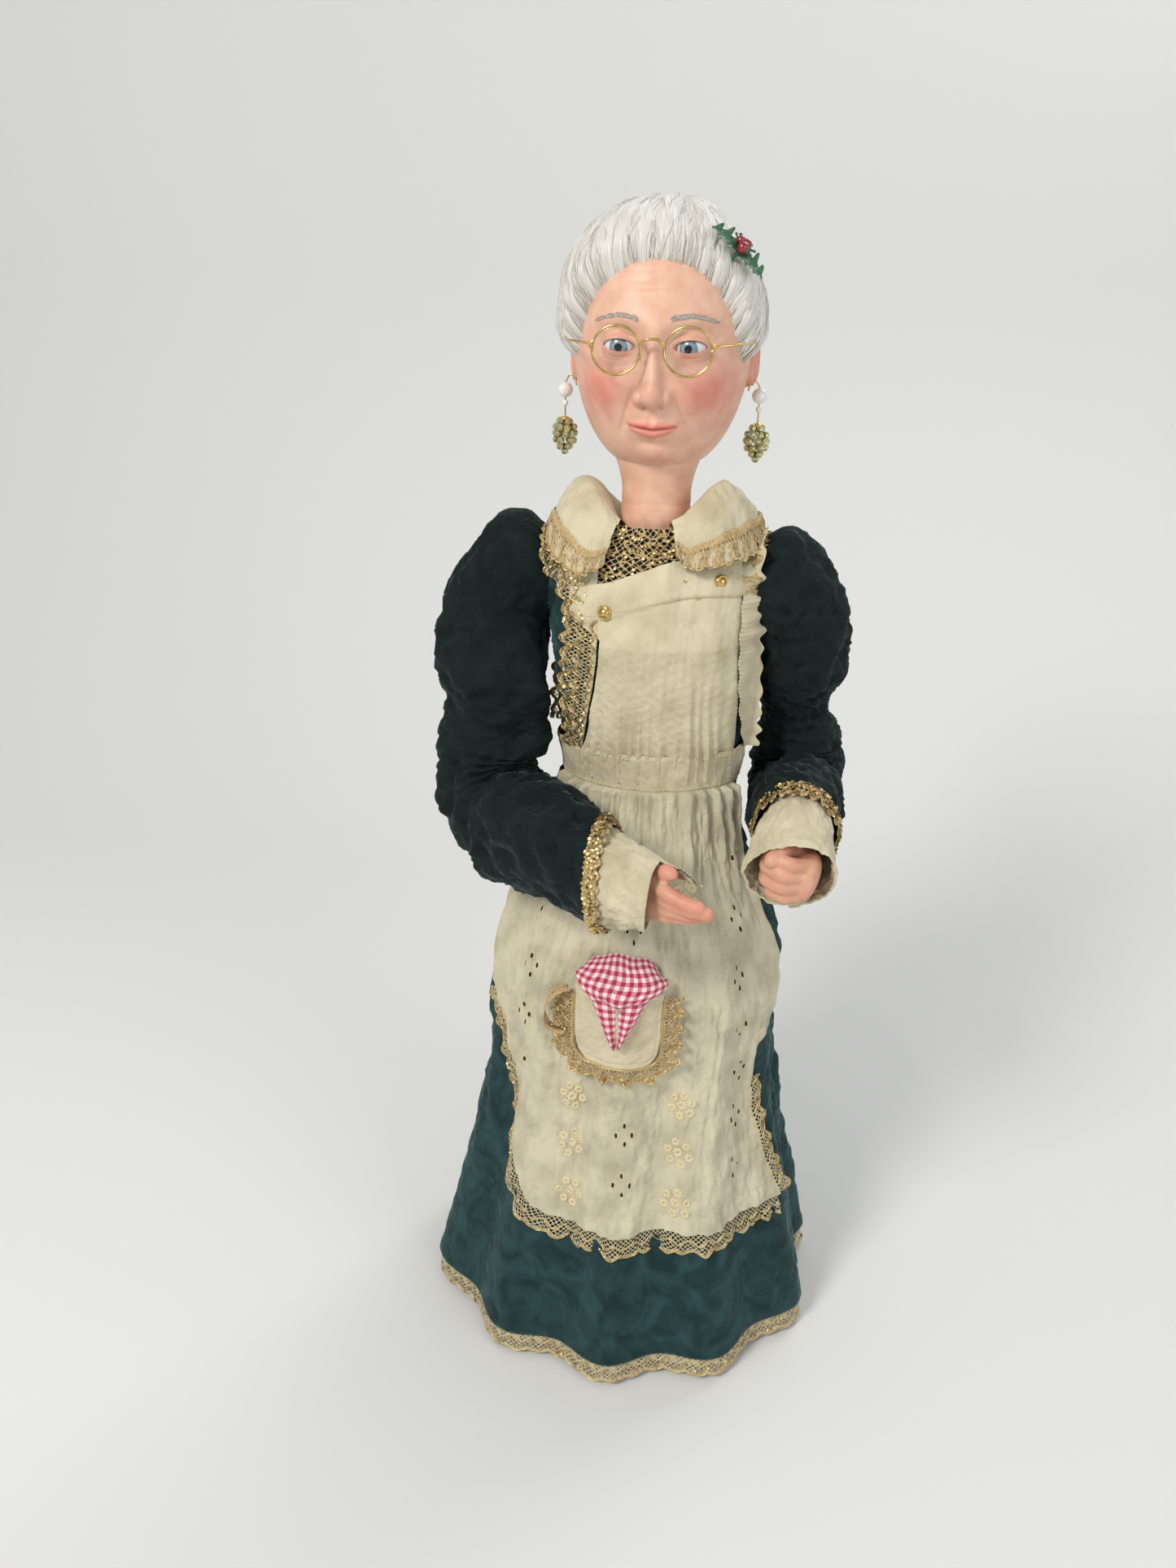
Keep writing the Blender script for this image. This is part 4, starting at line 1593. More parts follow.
def make_hand(word):
    arm = ARMS[word]
    palm_way = arm["side"]
    fore = arm["fore"]
    thumb_way = np.array([0.0, 0.0, 1.0])
    thumb_way -= fore * (thumb_way @ fore)
    thumb_way = unit(thumb_way)
    basis = np.stack([thumb_way, np.cross(fore, thumb_way), fore])
    wrist = arm["elbow"] + fore * FOREARM
    closed = word == "left"
    if closed:
        wrist = wrist - fore * 10.0 - thumb_way * 3.5 + np.cross(thumb_way, fore) * 2.5
        basis[0] = basis[0] * math.cos(0.2) - np.cross(basis[2], basis[0]) * math.sin(0.2)
        basis[1] = np.cross(fore, basis[0]) * 1.14
    else:
        wrist = wrist + fore * 11.0 + np.cross(thumb_way, fore) * 4.0 + thumb_way * 3.6
    back = -5.0 * palm_way if closed else 0.0
    moulding, nails = Work(), Work()

    def place(points):
        return wrist + np.asarray(points, float) @ basis

    def digit(points, radii, nail_size):
        points, radii = np.array(points, float), np.array(radii, float)
        gaps = lengths_along(points)
        fine = np.linspace(0, gaps[-1], 42)
        run = points_at(fine, gaps, points)
        thick = np.interp(fine, gaps, radii)
        for _ in range(5):
            run[1:-1] = (run[:-2] + 2 * run[1:-1] + run[2:]) / 4
            thick[1:-1] = (thick[:-2] + 2 * thick[1:-1] + thick[2:]) / 4
        for joint_at in gaps[1:-1]:
            thick = thick + 0.16 * radii[0] * 0.5 * bell(fine - joint_at, 2.2)
        cap = np.sqrt(np.clip(1 - ((fine - (gaps[-1] - 2.6)) / 2.7) ** 2, 0.02, 1))
        thick = np.where(fine > gaps[-1] - 2.6, thick * cap, thick)
        moulding.tube(place(run), thick, 14, up=tuple(basis[0] * 0.9 + basis[1] * 0.2))
        tip_way = unit(run[-3] - run[-9])
        outer = unit(np.cross(tip_way, (1.0, 0.0, 0.0)) * palm_way)
        across = np.cross(tip_way, outer)
        centre = run[-7] + outer * (thick[-7] - 0.15)
        a, b = crossed((-1, 1, 9), (-1, 1, 9))
        shape_a, shape_b = a * np.sqrt(1 - b**2 / 2), b * np.sqrt(1 - a**2 / 2)
        plate = (
            centre + across * (shape_a * nail_size)[..., None]
            + tip_way * (shape_b * nail_size * 1.25)[..., None]
        )
        plate = plate + outer * (0.35 - 0.55 * shape_a**2 - 0.25 * shape_b**2)[..., None]
        nails.grid(place(plate))

    curls = (0.95, 1.3, 0.9) if closed else (0.10, 0.22, 0.28)
    for number, (x, length, radius) in enumerate(
        [(8.2, 27, 3.5), (2.8, 30, 3.6), (-2.6, 28, 3.5), (-7.6, 22.5, 3.1)]
    ):
        bend = (0.04 + 0.09 * number) * (not closed)
        lean = -0.05 + 0.045 * (1.5 - number) if closed else -0.03 - 0.085 * (1.5 - number)
        points = [(x * 0.7, back * 0.7, 10), (x, back, 22), (x + lean * 3, back, 27)]
        tip = np.array([x + lean * 3, back, 27.0])
        for share, curl in zip((0.42, 0.32, 0.26), curls):
            bend += curl
            tip = tip + np.array([lean, palm_way * math.sin(bend), math.cos(bend)]) * share * length
            points.append(tuple(tip))
        points.append(tuple(tip + np.array([0, palm_way * math.sin(bend), math.cos(bend)]) * radius * 0.6))
        digit(
            points,
            [
                radius * 1.1, radius * 1.1, radius * 1.06, radius * 1.0, radius * 0.92, radius * 0.84,
                radius * 0.7
            ],
            radius * 0.58
        )
    if closed:
        thumb = [
            (3, 0, 2), (6, palm_way * 1, 9), (10, palm_way * 4, 17), (11, palm_way * 8, 25),
            (8, palm_way * 11.5, 32), (5, palm_way * 12.5, 35)
        ]
    else:
        thumb = [
            (2, 0, 2), (6, palm_way * 1, 8), (9.2, palm_way * 2.4, 16), (11.2, palm_way * 3.2, 25),
            (13.6, palm_way * 4.0, 33), (15.0, palm_way * 5.0, 39)
        ]
    digit(thumb, [5.2, 5.6, 4.9, 4.1, 3.7, 2.6], 2.2)
    ring = full_turn(24)
    palm = []
    for z, half_x, half_y, y in [
        (-6, 7.6, 7.0, 0), (0, 8.2, 7.0, 0), (6, 9.4, 6.8, 0), (13, 11.8, 6.2, back / 2),
        (20, 12.6, 5.4, back), (26, 12.2, 4.6, back), (30, 10.4, 3.4, back), (33, 7.0, 1.8, back)
    ]:
        palm.append(place(xyz(np.cos(ring) * half_x, y + np.sin(ring) * half_y, z + 0 * ring)))
    moulding.grid(np.stack(palm), around=True)
    moulding.lay(palm[0], [[0, k + 1, k] for k in range(1, 23)])
    moulding.lay(palm[-1], [[0, k, k + 1] for k in range(1, 23)])
    hand = moulding.make(word + "_hand_vinyl", hand_vinyl, None, "skin")
    remesh = hand.modifiers.new("merge", "REMESH")
    remesh.mode = "VOXEL"
    remesh.voxel_size = 0.00075
    remesh.use_smooth_shade = True
    soften = hand.modifiers.new("soften", "SMOOTH")
    soften.factor = 0.5
    soften.iterations = 6
    bpy.context.view_layer.update()
    merged = bpy.data.meshes.new_from_object(hand.evaluated_get(bpy.context.evaluated_depsgraph_get()))
    hand.modifiers.clear()
    hand.data = merged
    places = np.array([v.co for v in merged.vertices]) / MM
    local = (places - wrist) @ basis.T
    rosy = (
        0.30 * ease(local[:, 2], 24, 52) + 0.16 * bell(local[:, 2] - 27, 3.5)
        + 0.25 * ease(local[:, 0], 9, 18)
    )
    merged.attributes.new("mark", "FLOAT", "POINT").data.foreach_set(
        "value", np.clip(rosy, 0, 0.5).astype(np.float32)
    )
    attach(hand, word + "_forearm")
    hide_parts(word + "_hand")
    nails.make(word + "_nails", nail_vinyl, word + "_forearm", "skin")


for arm_word in ARM_WORDS:
    make_cuff(arm_word)
    make_hand(arm_word)


# Head and eyes.
# A vinyl moulding with a plain, calm, elderly face, tinted on its cheeks and lips, on a neck plug.
# The eyes are glossy moulded balls with grey-blue irises, set behind modelled lids.
NECK_Z, EYE_UP = 463.0, 84.0
HEAD_HALF = (41.0, 44.0, 56.0)
EYE_X, EYE_BACK, EYE_BALL = 15.5, -32.6, 8.0
EYE_MIDDLE = np.array([0.0, 0.0, NECK_Z + EYE_UP])


def bare_head(polar_z, x_way, y_way):
    low = np.clip(-polar_z, 0, None)
    sine = np.sqrt(np.clip(1 - polar_z**2, 1e-6, 1))
    full = np.where(polar_z < 0, sine**-0.35, 1.0)
    x = x_way * full * HEAD_HALF[0] * (1 - 0.1 * low**2)
    y = y_way * full * HEAD_HALF[1] * np.where(y_way < 0, 1 - 0.1 * low, 1 - 0.3 * low)
    return x, y


def mouth_line(x):
    return -34.6 + 1.1 * (x / 11.0) ** 2 - 0.35 * bell(x, 2.2)


def lip_lines(x):
    inside = np.clip(1 - (x / 11.2) ** 2, 0, 1) ** 0.6
    upper = 3.0 * inside * (1 - 0.3 * bell(x, 1.3) + 0.12 * bell(np.abs(x) - 3.0, 1.6)) + 0.01
    return mouth_line(x), upper, 4.0 * inside**1.1 + 0.01, inside


def dome(x, z, wide, tall, base, out):
    spread = (x / wide) ** 2 + (z / tall) ** 2
    return base + out * np.sqrt(np.clip(1 - spread, 0, 1)) - 6 * np.clip(spread - 1, 0, 3)


def face_relief(x, z):
    """How far the face stands out in front of the bare head, z being measured from the eyes."""
    a = np.abs(x)
    out = (
        1.4 * bell(x, 28) * bell(z - 30, 17) + 1.5 * bell(a - EYE_X, 12) * bell(z - 10.5, 4.4)
        + 0.9 * bell(x, 6) * bell(z - 8, 5)
    )
    out -= 4.4 * bell(a - EYE_X, 10.5) * bell(z - 0.5, 7.5)
    out += (
        3.7 * bell(a - 21.5, 11) * bell(z + 17, 9.5) + 0.7 * bell(a - 16, 8) * bell(z + 9.2, 2.0)
        - 0.45 * bell(a - 16.5, 9) * bell(z + 11.8, 1.0)
    )
    fold_x = np.interp(z, [-42, -38, -34, -30, -26, -22, -18], [15.6, 14.9, 14.0, 12.7, 11.2, 9.9, 9.0])
    out -= 1.15 * bell(a - fold_x, 1.4) * ease(z, -42, -34) * (1 - ease(z, -22, -17))
    out += (
        2.3 * bell(x, 14) * bell(z + 33.5, 8.5) + 3.9 * bell(x, 10.5) * bell(z + 48.5, 7.0)
        - 0.9 * bell(x, 7) * bell(z + 41.4, 1.9)
    )
    out -= 1.2 * bell(a - 35, 8) * bell(z - 8, 12)
    crease_levels = ((21.0, 0.34), (25.6, 0.38), (30.0, 0.3))
    for level, deep in crease_levels:
        out -= deep * bell(z - level - 0.8 * np.cos(x / 9) - 0.3 * np.sin(x / 3.1), 0.75) * bell(x, 20)
    for start, slope in ((3.0, 0.35), (-0.4, 0.0), (-3.6, -0.4)):
        out -= 0.4 * bell(z - start - slope * (a - 25), 0.6) * ease(a, 24.5, 26.5) * (1 - ease(a, 29, 32))
    out += -0.6 * bell(x, 1.25) * bell(z + 29.0, 2.4) + 0.35 * bell(a - 2.3, 1.1) * bell(z + 29.2, 2.4)
    line, upper, lower, inside = lip_lines(x)
    out += (
        1.9 * inside * bell(z - line - upper * 0.45, 1.5)
        + 2.0 * inside * bell(z - line + lower * 0.62, 2.1)
    )
    out -= (
        2.3 * bell(z - line, 0.55) * ease(12.4 - a, 0, 3.0)
        + 0.8 * bell(a - 12.0, 1.5) * bell(z - mouth_line(12.0), 1.8)
    )
    ridge = np.interp(
        z, [-26, -23, -20, -18, -16, -13, -10, -7, -4, -1, 2, 5, 8, 11],
        [0, 3, 6.6, 7.8, 7.6, 6.5, 5.2, 4.1, 3.2, 2.4, 1.7, 1.0, 0.4, 0]
    )
    bridge = out + ridge * bell(x, np.interp(z, [-22, -12, -2, 8], [4.6, 4.3, 3.8, 4.8]))
    tip = out * 0.3 + dome(x, z + 20.4, 5.0, 5.3, 4.2, 5.3)
    wing = out * 0.3 + dome(a - 5.6, z + 21.7, 3.4, 3.5, 1.2, 4.1)
    nose = np.log(np.exp(1.5 * bridge) + np.exp(1.5 * tip) + np.exp(1.5 * wing)) / 1.5
    return nose - 3.0 * bell(a - 3.1, 1.3) * bell(z + 25.0, 0.9)


def face_depth(x, z):
    polar_z = np.clip(z / HEAD_HALF[2], -0.999, 0.999)
    low = np.clip(-polar_z, 0, None)
    sine = np.sqrt(1 - polar_z**2)
    full = np.where(polar_z < 0, sine**-0.35, 1.0)
    x_way = x / (full * HEAD_HALF[0] * (1 - 0.1 * low**2))
    y_way = -np.sqrt(np.clip(sine**2 - x_way**2, 1e-6, 1))
    front = ease(-y_way, 0.1, 0.6)
    return bare_head(polar_z, x_way, y_way)[1] - front * face_relief(x, z)


def face_colour(x, z, y_way):
    a = np.abs(x)
    line, upper, lower, inside = lip_lines(x)
    lips = (
        ease(z, line - lower - 0.7, line - lower + 0.6)
        * (1 - ease(z, line + upper - 0.4, line + upper + 0.5)) * (inside > 0.1)
    )
    dark_line = 0.25 * bell(z - line, 0.5) * (inside > 0.1)
    cheek = 0.60 * bell(a - 24, 11) * bell(z + 18, 10.5)
    other = (
        0.16 * bell(x, 6) * bell(z + 20, 5) + 0.16 * bell(a - EYE_X, 10) * bell(z, 6)
        + 0.12 * bell(x, 10) * bell(z + 49, 6)
    )
    return np.clip(np.maximum(lips * 0.56 + dark_line, cheek + other) * ease(-y_way, -0.2, 0.3), 0, 0.9)


def mould_skull(work):
    polar = math.pi * (1 - (np.arange(1, 300) / 300))
    polar = polar - 0.08 * math.pi * np.sin(2 * polar)
    u = 2 * np.arange(400) / 400 - 1
    turn = math.pi * np.sign(u) * np.abs(u) ** 1.5
    turn, polar = np.meshgrid(turn, polar)
    x_way, y_way, z_way = np.sin(polar) * np.sin(turn), -np.sin(polar) * np.cos(turn), np.cos(polar)
    x, y = bare_head(z_way, x_way, y_way)
    z = z_way * HEAD_HALF[2]
    relief = face_relief(x, z) + 5.5 * -bell(np.abs(x) - EYE_X, 6.2) * bell(z, 3.4)
    y = y - ease(-y_way, 0.1, 0.6) * relief
    work.grid(EYE_MIDDLE + xyz(x, y, z), around=True, marks=face_colour(x, z, y_way))


def mould_neck(work):
    ring = full_turn(48)
    neck_rows = [
        (0.3, 17.4), (1.2, 17.6), (6, 17.1), (10.5, 16.8), (11.4, 16.55), (12.4, 16.8), (18, 16.7),
        (22, 17.2), (27, 18.4), (33, 20.5), (38, 22.0)
    ]
    neck = []
    for height, r in neck_rows:
        z = NECK_Z + height + 1.3 * bell(height - 11.4, 4) * np.cos(ring)
        neck.append(xyz(r * np.sin(ring), -r * np.cos(ring) - 0.05 * (height - 10), z))
    work.grid(np.stack(neck), around=True, marks=np.full((len(neck), 48), 0.05))


def mould_lids(work, side):
    phi, share = np.meshgrid(full_turn(96), np.linspace(0, 1, 34))
    rise = np.sin(phi)
    almond_x = 7.3 * np.cos(phi)
    almond_z = (
        np.where(rise > 0, 2.95, 2.3) * np.sign(rise) * np.abs(rise) ** 1.15 + 0.35 * np.cos(phi) - 0.15
    )
    wide_x, wide_z = 13.0 * np.cos(phi), np.where(rise > 0, 10.5, 9.0) * rise
    spread = share**1.25
    dx = almond_x + (wide_x - almond_x) * spread
    dz = almond_z + (wide_z - almond_z) * spread
    px = EYE_X + dx
    surface = face_depth(px, dz)
    reach = np.hypot(dx, dz * 1.02)
    ball = EYE_BACK - np.sqrt(np.clip((EYE_BALL + 0.75) ** 2 - reach**2, 0.01, None))
    ball = np.where(reach > EYE_BALL + 0.5, -30.0, ball)
    sharp = 1.6
    blended = -(np.log(np.exp(-ball * sharp) + np.exp(-surface * sharp)) / sharp)
    crease = (
        0.55 * bell(share - 0.36, 0.085) * np.clip(rise + 0.15, 0, 1)
        - 0.25 * bell(share - 0.24, 0.08) * np.clip(rise, 0, 1)
    )
    bag = 0.35 * bell(share - 0.42, 0.08) * np.clip(-rise, 0, 1)
    depth = blended + crease + bag
    depth = (
        depth * (1 - ease(share, 0.72, 1.0)) + (surface + 0.12) * ease(share, 0.72, 1.0)
        + 0.35 * ease(share, 0.9, 1.0)
    )
    inner = xyz(
        px[0] - 0.25 * np.cos(phi[0]),
        EYE_BACK - np.sqrt(np.clip(EYE_BALL**2 - np.hypot(dx[0], dz[0]) ** 2, 1.0, None)) + 0.5,
        dz[0] - 0.25 * rise[0]
    )
    lid = xyz(px, depth, dz)
    rim = lid[0] * 0.55 + inner * 0.45 + np.array([0, -0.12, 0])
    rows = np.concatenate([inner[None], rim[None], lid]) * np.array([side, 1, 1])
    tint = np.concatenate([np.full((2, 96), 0.42), face_colour(px, dz, -1 + 0 * px) + 0.08 * (1 - share)])
    work.grid(EYE_MIDDLE + rows, around=True, marks=tint, turned=side < 0)


def mould_ear(work, side):
    phi, share = np.meshgrid(full_turn(64), np.linspace(0, 1, 24))
    outline = 1 + 0.16 * np.cos(phi - 0.5) - 0.05 * np.cos(3 * phi)
    back_way = 6.8 * outline * np.cos(phi) * share
    up_way = 11.2 * outline * np.sin(phi) * share * (1 - 0.12 * np.cos(phi))
    rim = 2.2 * bell(share - 0.86, 0.11) * (0.35 + 0.65 * ease(np.sin(phi + 0.5), -0.9, 0.2))
    fold = 1.3 * bell(share - 0.55, 0.12) * ease(np.cos(phi - 0.9), -0.2, 0.9)
    bowl = -1.6 * bell(share, 0.38)
    out = 2.4 + rim + fold + bowl - 3.4 * ease(share, 0.9, 1.0) + 0.12 * back_way
    ear = xyz(side * (39.6 + out), 4.0 + back_way, -8.0 + up_way)
    work.grid(EYE_MIDDLE + ear, around=True, marks=0.12 + 0.2 * share, turned=side > 0)


def make_head():
    work = Work()
    mould_skull(work)
    mould_neck(work)
    for side in (-1, 1):
        mould_lids(work, side)
    for side in (-1, 1):
        mould_ear(work, side)
    work.make("head_vinyl", vinyl_skin, "head", "skin", ("head",))


def eye_finish():
    """The mark runs from the white of the eye at 0 over the ring of the iris to the pupil at 1."""
    finish = Finish("moulded_eye", (0.78, 0.77, 0.74), 0.2, Coat_Weight=0.4, Coat_Roughness=0.02)
    rings = [
        (0.0, (0.78, 0.76, 0.73)), (0.36, (0.72, 0.70, 0.68)), (0.42, (0.06, 0.08, 0.11)),
        (0.50, (0.15, 0.21, 0.28)), (0.72, (0.30, 0.38, 0.44)), (0.80, (0.04, 0.05, 0.06)),
        (0.84, (0.004, 0.004, 0.005)),
    ]
    base = finish.ramp(paint_mark(finish), rings)
    streaks = finish.ramp(finish.noise(1400.0, 2.0), [(0.4, (0.0, 0.0, 0.0)), (0.6, (1.0, 1.0, 1.0))])
    marbled = finish.node("MixRGB", Fac=0.22, Color1=base, Color2=streaks)
    marbled.blend_type = "SOFT_LIGHT"
    finish.paint(marbled.outputs["Color"])
    return finish.material


def make_eyes():
    finish = eye_finish()
    gaze_down, gaze_side = 0.10, -0.06
    for word, side in (("right", -1), ("left", 1)):
        way = unit(np.array([math.sin(gaze_side) - 0.03 * side, -math.cos(gaze_side), -gaze_down]))
        across = unit(np.cross(way, (0.0, 0.0, 1.0)))
        upward = np.cross(across, way)
        polar = np.concatenate([np.linspace(0.0, 0.62, 60), np.linspace(0.65, math.pi, 34)])
        ring = full_turn(64)
        polar_grid, ring_grid = np.meshgrid(polar, ring, indexing="ij")
        streak = (
            0.03 * np.sin(ring_grid * 17 + 3 * np.sin(ring_grid * 5))
            * ((polar_grid > 0.22) & (polar_grid < 0.50))
        )
        tone = (
            np.interp(
                polar_grid, [0.0, 0.17, 0.20, 0.30, 0.46, 0.50, 0.54, 0.62, 3.2],
                [1.0, 1.0, 0.78, 0.66, 0.52, 0.43, 0.34, 0.12, 0.05]
            )
            + streak
        )
        radius = EYE_BALL + 0.45 * bell(polar_grid, 0.45)
        centre = np.array([side * EYE_X, EYE_BACK, NECK_Z + EYE_UP])
        spot = (
            centre
            + radius[..., None] * (
                np.cos(polar_grid)[..., None] * way
                + np.sin(polar_grid)[..., None]
                * (np.cos(ring_grid)[..., None] * across + np.sin(ring_grid)[..., None] * upward)
            )
        )
        ball = Work()
        ball.grid(spot, around=True, marks=tone, turned=True)
        ball.make(word + "_eye_ball", finish, "head", "eye", (word + "_eye",))


def make_brows_and_lashes():
    chance = random.Random(17)
    hairs = Work()
    for side in (-1, 1):
        for _ in range(170):
            share = chance.random()
            x = 6.5 + 17.5 * share
            z = (
                8.6 + 3.4 * math.sin(math.pi * (0.18 + 0.62 * share))
                + chance.uniform(-0.9, 0.9) * (1.1 - 0.7 * share)
            )
            length = chance.uniform(2.6, 4.2)
            slope = 0.75 - 0.95 * share + chance.uniform(-0.15, 0.15)
            steps = np.linspace(0, 1, 5)
            px = x + length * steps * math.cos(slope)
            pz = z + length * steps * math.sin(slope) * (1 - 0.3 * steps)
            depth = face_depth(px, pz) - 0.08 - 0.3 * np.sin(steps * math.pi)
            run = EYE_MIDDLE + xyz(side * px, depth, pz)
            hairs.tube(run, 0.105 * np.array([0.8, 1.0, 0.9, 0.6, 0.2]), 4, up=(0.0, -1.0, 0.2))
    hairs.make(
        "brows", speckled_finish("grey_brow", (0.34, 0.30, 0.26), (0.56, 0.52, 0.47), 0.7, 0.001), "head",
        "hair"
    )
    lashes = Work()
    for side in (-1, 1):
        phi = np.linspace(0.12, math.pi - 0.12, 40)
        dx = 7.25 * np.cos(phi)
        dz = 2.95 * np.sin(phi) ** 1.15 + 0.35 * np.cos(phi) - 0.22
        depth = EYE_BACK - np.sqrt((EYE_BALL + 0.85) ** 2 - np.hypot(dx, dz) ** 2) - 0.1
        run = EYE_MIDDLE + xyz(side * (EYE_X + dx), depth, dz)
        lashes.tube(run, 0.2 * np.sin(np.linspace(0.25, math.pi - 0.25, 40)), 5, up=(0.0, -1.0, 0.0))
    lashes.make(
        "lash_lines", speckled_finish("painted_lashes", (0.10, 0.06, 0.05), (0.17, 0.11, 0.09), 0.6, 0.001),
        "head", "eye"
    )


def hair_finish():
    finish = Finish("white_hair", (0.80, 0.77, 0.70), 0.48, Sheen_Weight=0.1)
    combed = finish.node("Mapping", Vector=finish.node("UVMap").outputs["UV"], Scale=(3.4, 0.05, 1.0))
    strands = finish.noise(1.0, 4.0, place=combed.outputs["Vector"])
    finish.tint(strands, (0.3, (0.46, 0.43, 0.38)), (0.48, (0.72, 0.69, 0.63)), (0.68, (0.84, 0.82, 0.77)))
    finish.bump(strands, 0.0006)
    return finish.material


white_hair = hair_finish()
make_head()
make_eyes()
make_brows_and_lashes()


# Wig and bun.
# White fibre hair rooted in a cap, brushed up in a soft full roll to a coiled bun on the crown.
# Broad overlapping locks lie over the combed under-layer, with fine loose hairs along the hairline.
HAIR_CENTRE = np.array([0.0, 3.0, NECK_Z + EYE_UP + 2.0])
HAIRLINE = np.array(
    [
        (0.0, -36.0, 30.5), (13.0, -34.5, 28.5), (24.0, -29.0, 20.5), (31.0, -23.5, 9.0),
        (35.0, -21.0, -4.0), (37.5, -18.0, -13.0), (39.5, -11.0, -6.0), (41.0, -3.0, 4.0),
        (41.5, 5.0, 6.5), (41.0, 13.0, 0.0), (38.5, 20.0, -14.0), (33.0, 28.0, -28.0),
        (18.0, 38.0, -34.0), (0.0, 42.0, -36.0),
    ]
)
CROWN_WAY = unit(np.array([0.0, 0.44, 0.90]))


def hairline_way(turn):
    half = HAIRLINE - np.array([0.0, 3.0, 2.0])
    loop = np.concatenate([half, half[-2:0:-1] * np.array([-1, 1, 1])])
    place = (np.asarray(turn) % math.tau) / math.tau * len(loop)
    way = 0
    weights = 0
    for step in range(-1, 3):
        index = np.floor(place) + step
        weight = np.exp(-1.1 * (place - index) ** 2)[..., None]
        way = way + loop[index.astype(int) % len(loop)] * weight
        weights = weights + weight
    way = way / weights
    return unit(way)


def hair_point(turn, share, thick):
    turn, share, thick = together(turn, share, thick)
    start = hairline_way(turn)
    angle = np.arccos(np.clip(start @ CROWN_WAY, -1, 1))
    way = (
        (np.sin((1 - share) * angle)[..., None] * start + np.sin(share * angle)[..., None] * CROWN_WAY)
        / np.sin(angle)[..., None]
    )
    full = (
        5.5
        * np.exp(
            -(((way[..., 0] + 0.62) / 0.42) ** 2) - (((way[..., 2] - 0.55) / 0.5) ** 2)
            - ((way[..., 1] / 0.9) ** 2)
        )
    )
    thick = thick + full * ease(share, 0.0, 0.2)
    size = xyz(41.0 + thick, 46.0 + thick, 54.5 + thick)
    return HAIR_CENTRE + way / np.linalg.norm(way / size, axis=-1, keepdims=True)


def swell(turn, share):
    """The soft roll of hair over the forehead and above the ears."""
    front = bell(np.minimum(turn % math.tau, math.tau - turn % math.tau), 1.5)
    root = ease(share, -0.01, 0.16)
    return -1.6 + 5.4 * root + front * (3.4 * root * bell(share - 0.2, 0.22))


def make_wig():
    chance = random.Random(23)
    turn, share = np.meshgrid(np.linspace(0, math.tau, 1201)[:-1], np.linspace(-0.01, 0.97, 110))
    bent = turn + 0.05 * np.sin(6 * share + 3 * np.sin(2 * turn)) * ease(share, 0, 0.3)
    fine = np.sqrt(np.abs(np.cos(bent * 78 + 1.5 * np.sin(share * 9 + turn * 4))))
    broad = np.sqrt(np.abs(np.cos(bent * 24 + 1.2 * np.sin(share * 5 + turn * 3))))
    fade = 1 - 0.6 * ease(share, 0.5, 0.97)
    under = Work()
    under.grid(
        hair_point(
            turn, share,
            swell(turn, share) - 1.6 + (0.7 * fine + 1.3 * broad) * fade * ease(share, -0.01, 0.04)
        ),
        around=True, turned=True
    )
    under.make("wig_under", white_hair, "head", "hair", ("wig",))
    locks = Work()
    for level, count, wide, lift in ((0, 40, 9.0, 0.4), (1, 34, 7.5, 1.4), (2, 20, 6.0, 2.1)):
        for k in range(count):
            start = (k + chance.uniform(-0.4, 0.4) + 0.5 * level) / count * math.tau
            first = -0.015 if level == 0 else chance.uniform(-0.01, 0.25 * level - 0.1)
            steps = np.linspace(first, chance.uniform(0.84, 0.94), 46)
            whole = np.clip((steps - steps[0]) / (steps[-1] - steps[0]), 0, 1)
            drift = (
                chance.uniform(0.02, 0.05)
                * np.sin(whole * chance.uniform(3.0, 6.0) + chance.uniform(0, 6.3)) * ease(whole, 0, 0.3)
            )
            height = (
                swell(start, steps) + (lift - 1.2) * np.sin(whole * math.pi) ** 0.6
                - 1.1 * (1 - ease(whole, 0, 0.15)) - 1.8 * ease(whole, 0.8, 1.0)
            )
            run = hair_point(start + drift, steps, height)
            fullness = np.sin(whole * math.pi * 0.86 + 0.3) ** 0.6 * (1 - 0.45 * ease(steps, 0.45, 0.95))
            radii = wide * 0.5 * fullness * chance.uniform(0.8, 1.2)
            around = full_turn(40)
            phase = chance.uniform(0, 6.3)
            wander = 0.8 * np.sin(whole * 7 + phase)[:, None]
            combed = (
                0.055 * np.abs(np.cos(6 * around[None] + wander))
                + 0.04 * np.abs(np.cos(9.9997 * around[None] + phase + 2 * wander))
            )
            away = unit(run - HAIR_CENTRE)
            locks.tube(run, radii, 40, flat=0.36, up=away, grooves=combed)
    locks.make("wig_locks", white_hair, "head", "hair")
    loose = Work()
    for k in range(760):
        rooted = k < 520
        start = (k + chance.random()) / 520 * math.tau if rooted else chance.uniform(0, math.tau)
        first = chance.uniform(-0.045, 0.0) if rooted else chance.uniform(0.02, 0.6)
        steps = np.linspace(first, first + chance.uniform(0.1, 0.3), 14)
        whole = np.linspace(0, 1, 14)
        drift = chance.uniform(-0.05, 0.05) * whole + 0.012 * np.sin(whole * 5 + k)
        hug = (
            np.maximum(swell(start, steps), -2.9) + (0.35 if rooted else 1.6)
            + chance.uniform(0.2, 1.5) * np.sin(whole * math.pi)
        )
        hug = hug - 0.6 * (1 - ease(whole, 0.0, 0.2)) - (0.8 if rooted else 1.8) * ease(whole, 0.8, 1.0)
        loose.tube(
            hair_point(start + drift, steps, hug),
            chance.uniform(0.13, 0.24) * np.sin(np.linspace(0.5, 2.9, 14)), 5, up=(0.1, -0.9, 0.3)
        )
    loose.make("wig_loose_hairs", white_hair, "head", "hair")


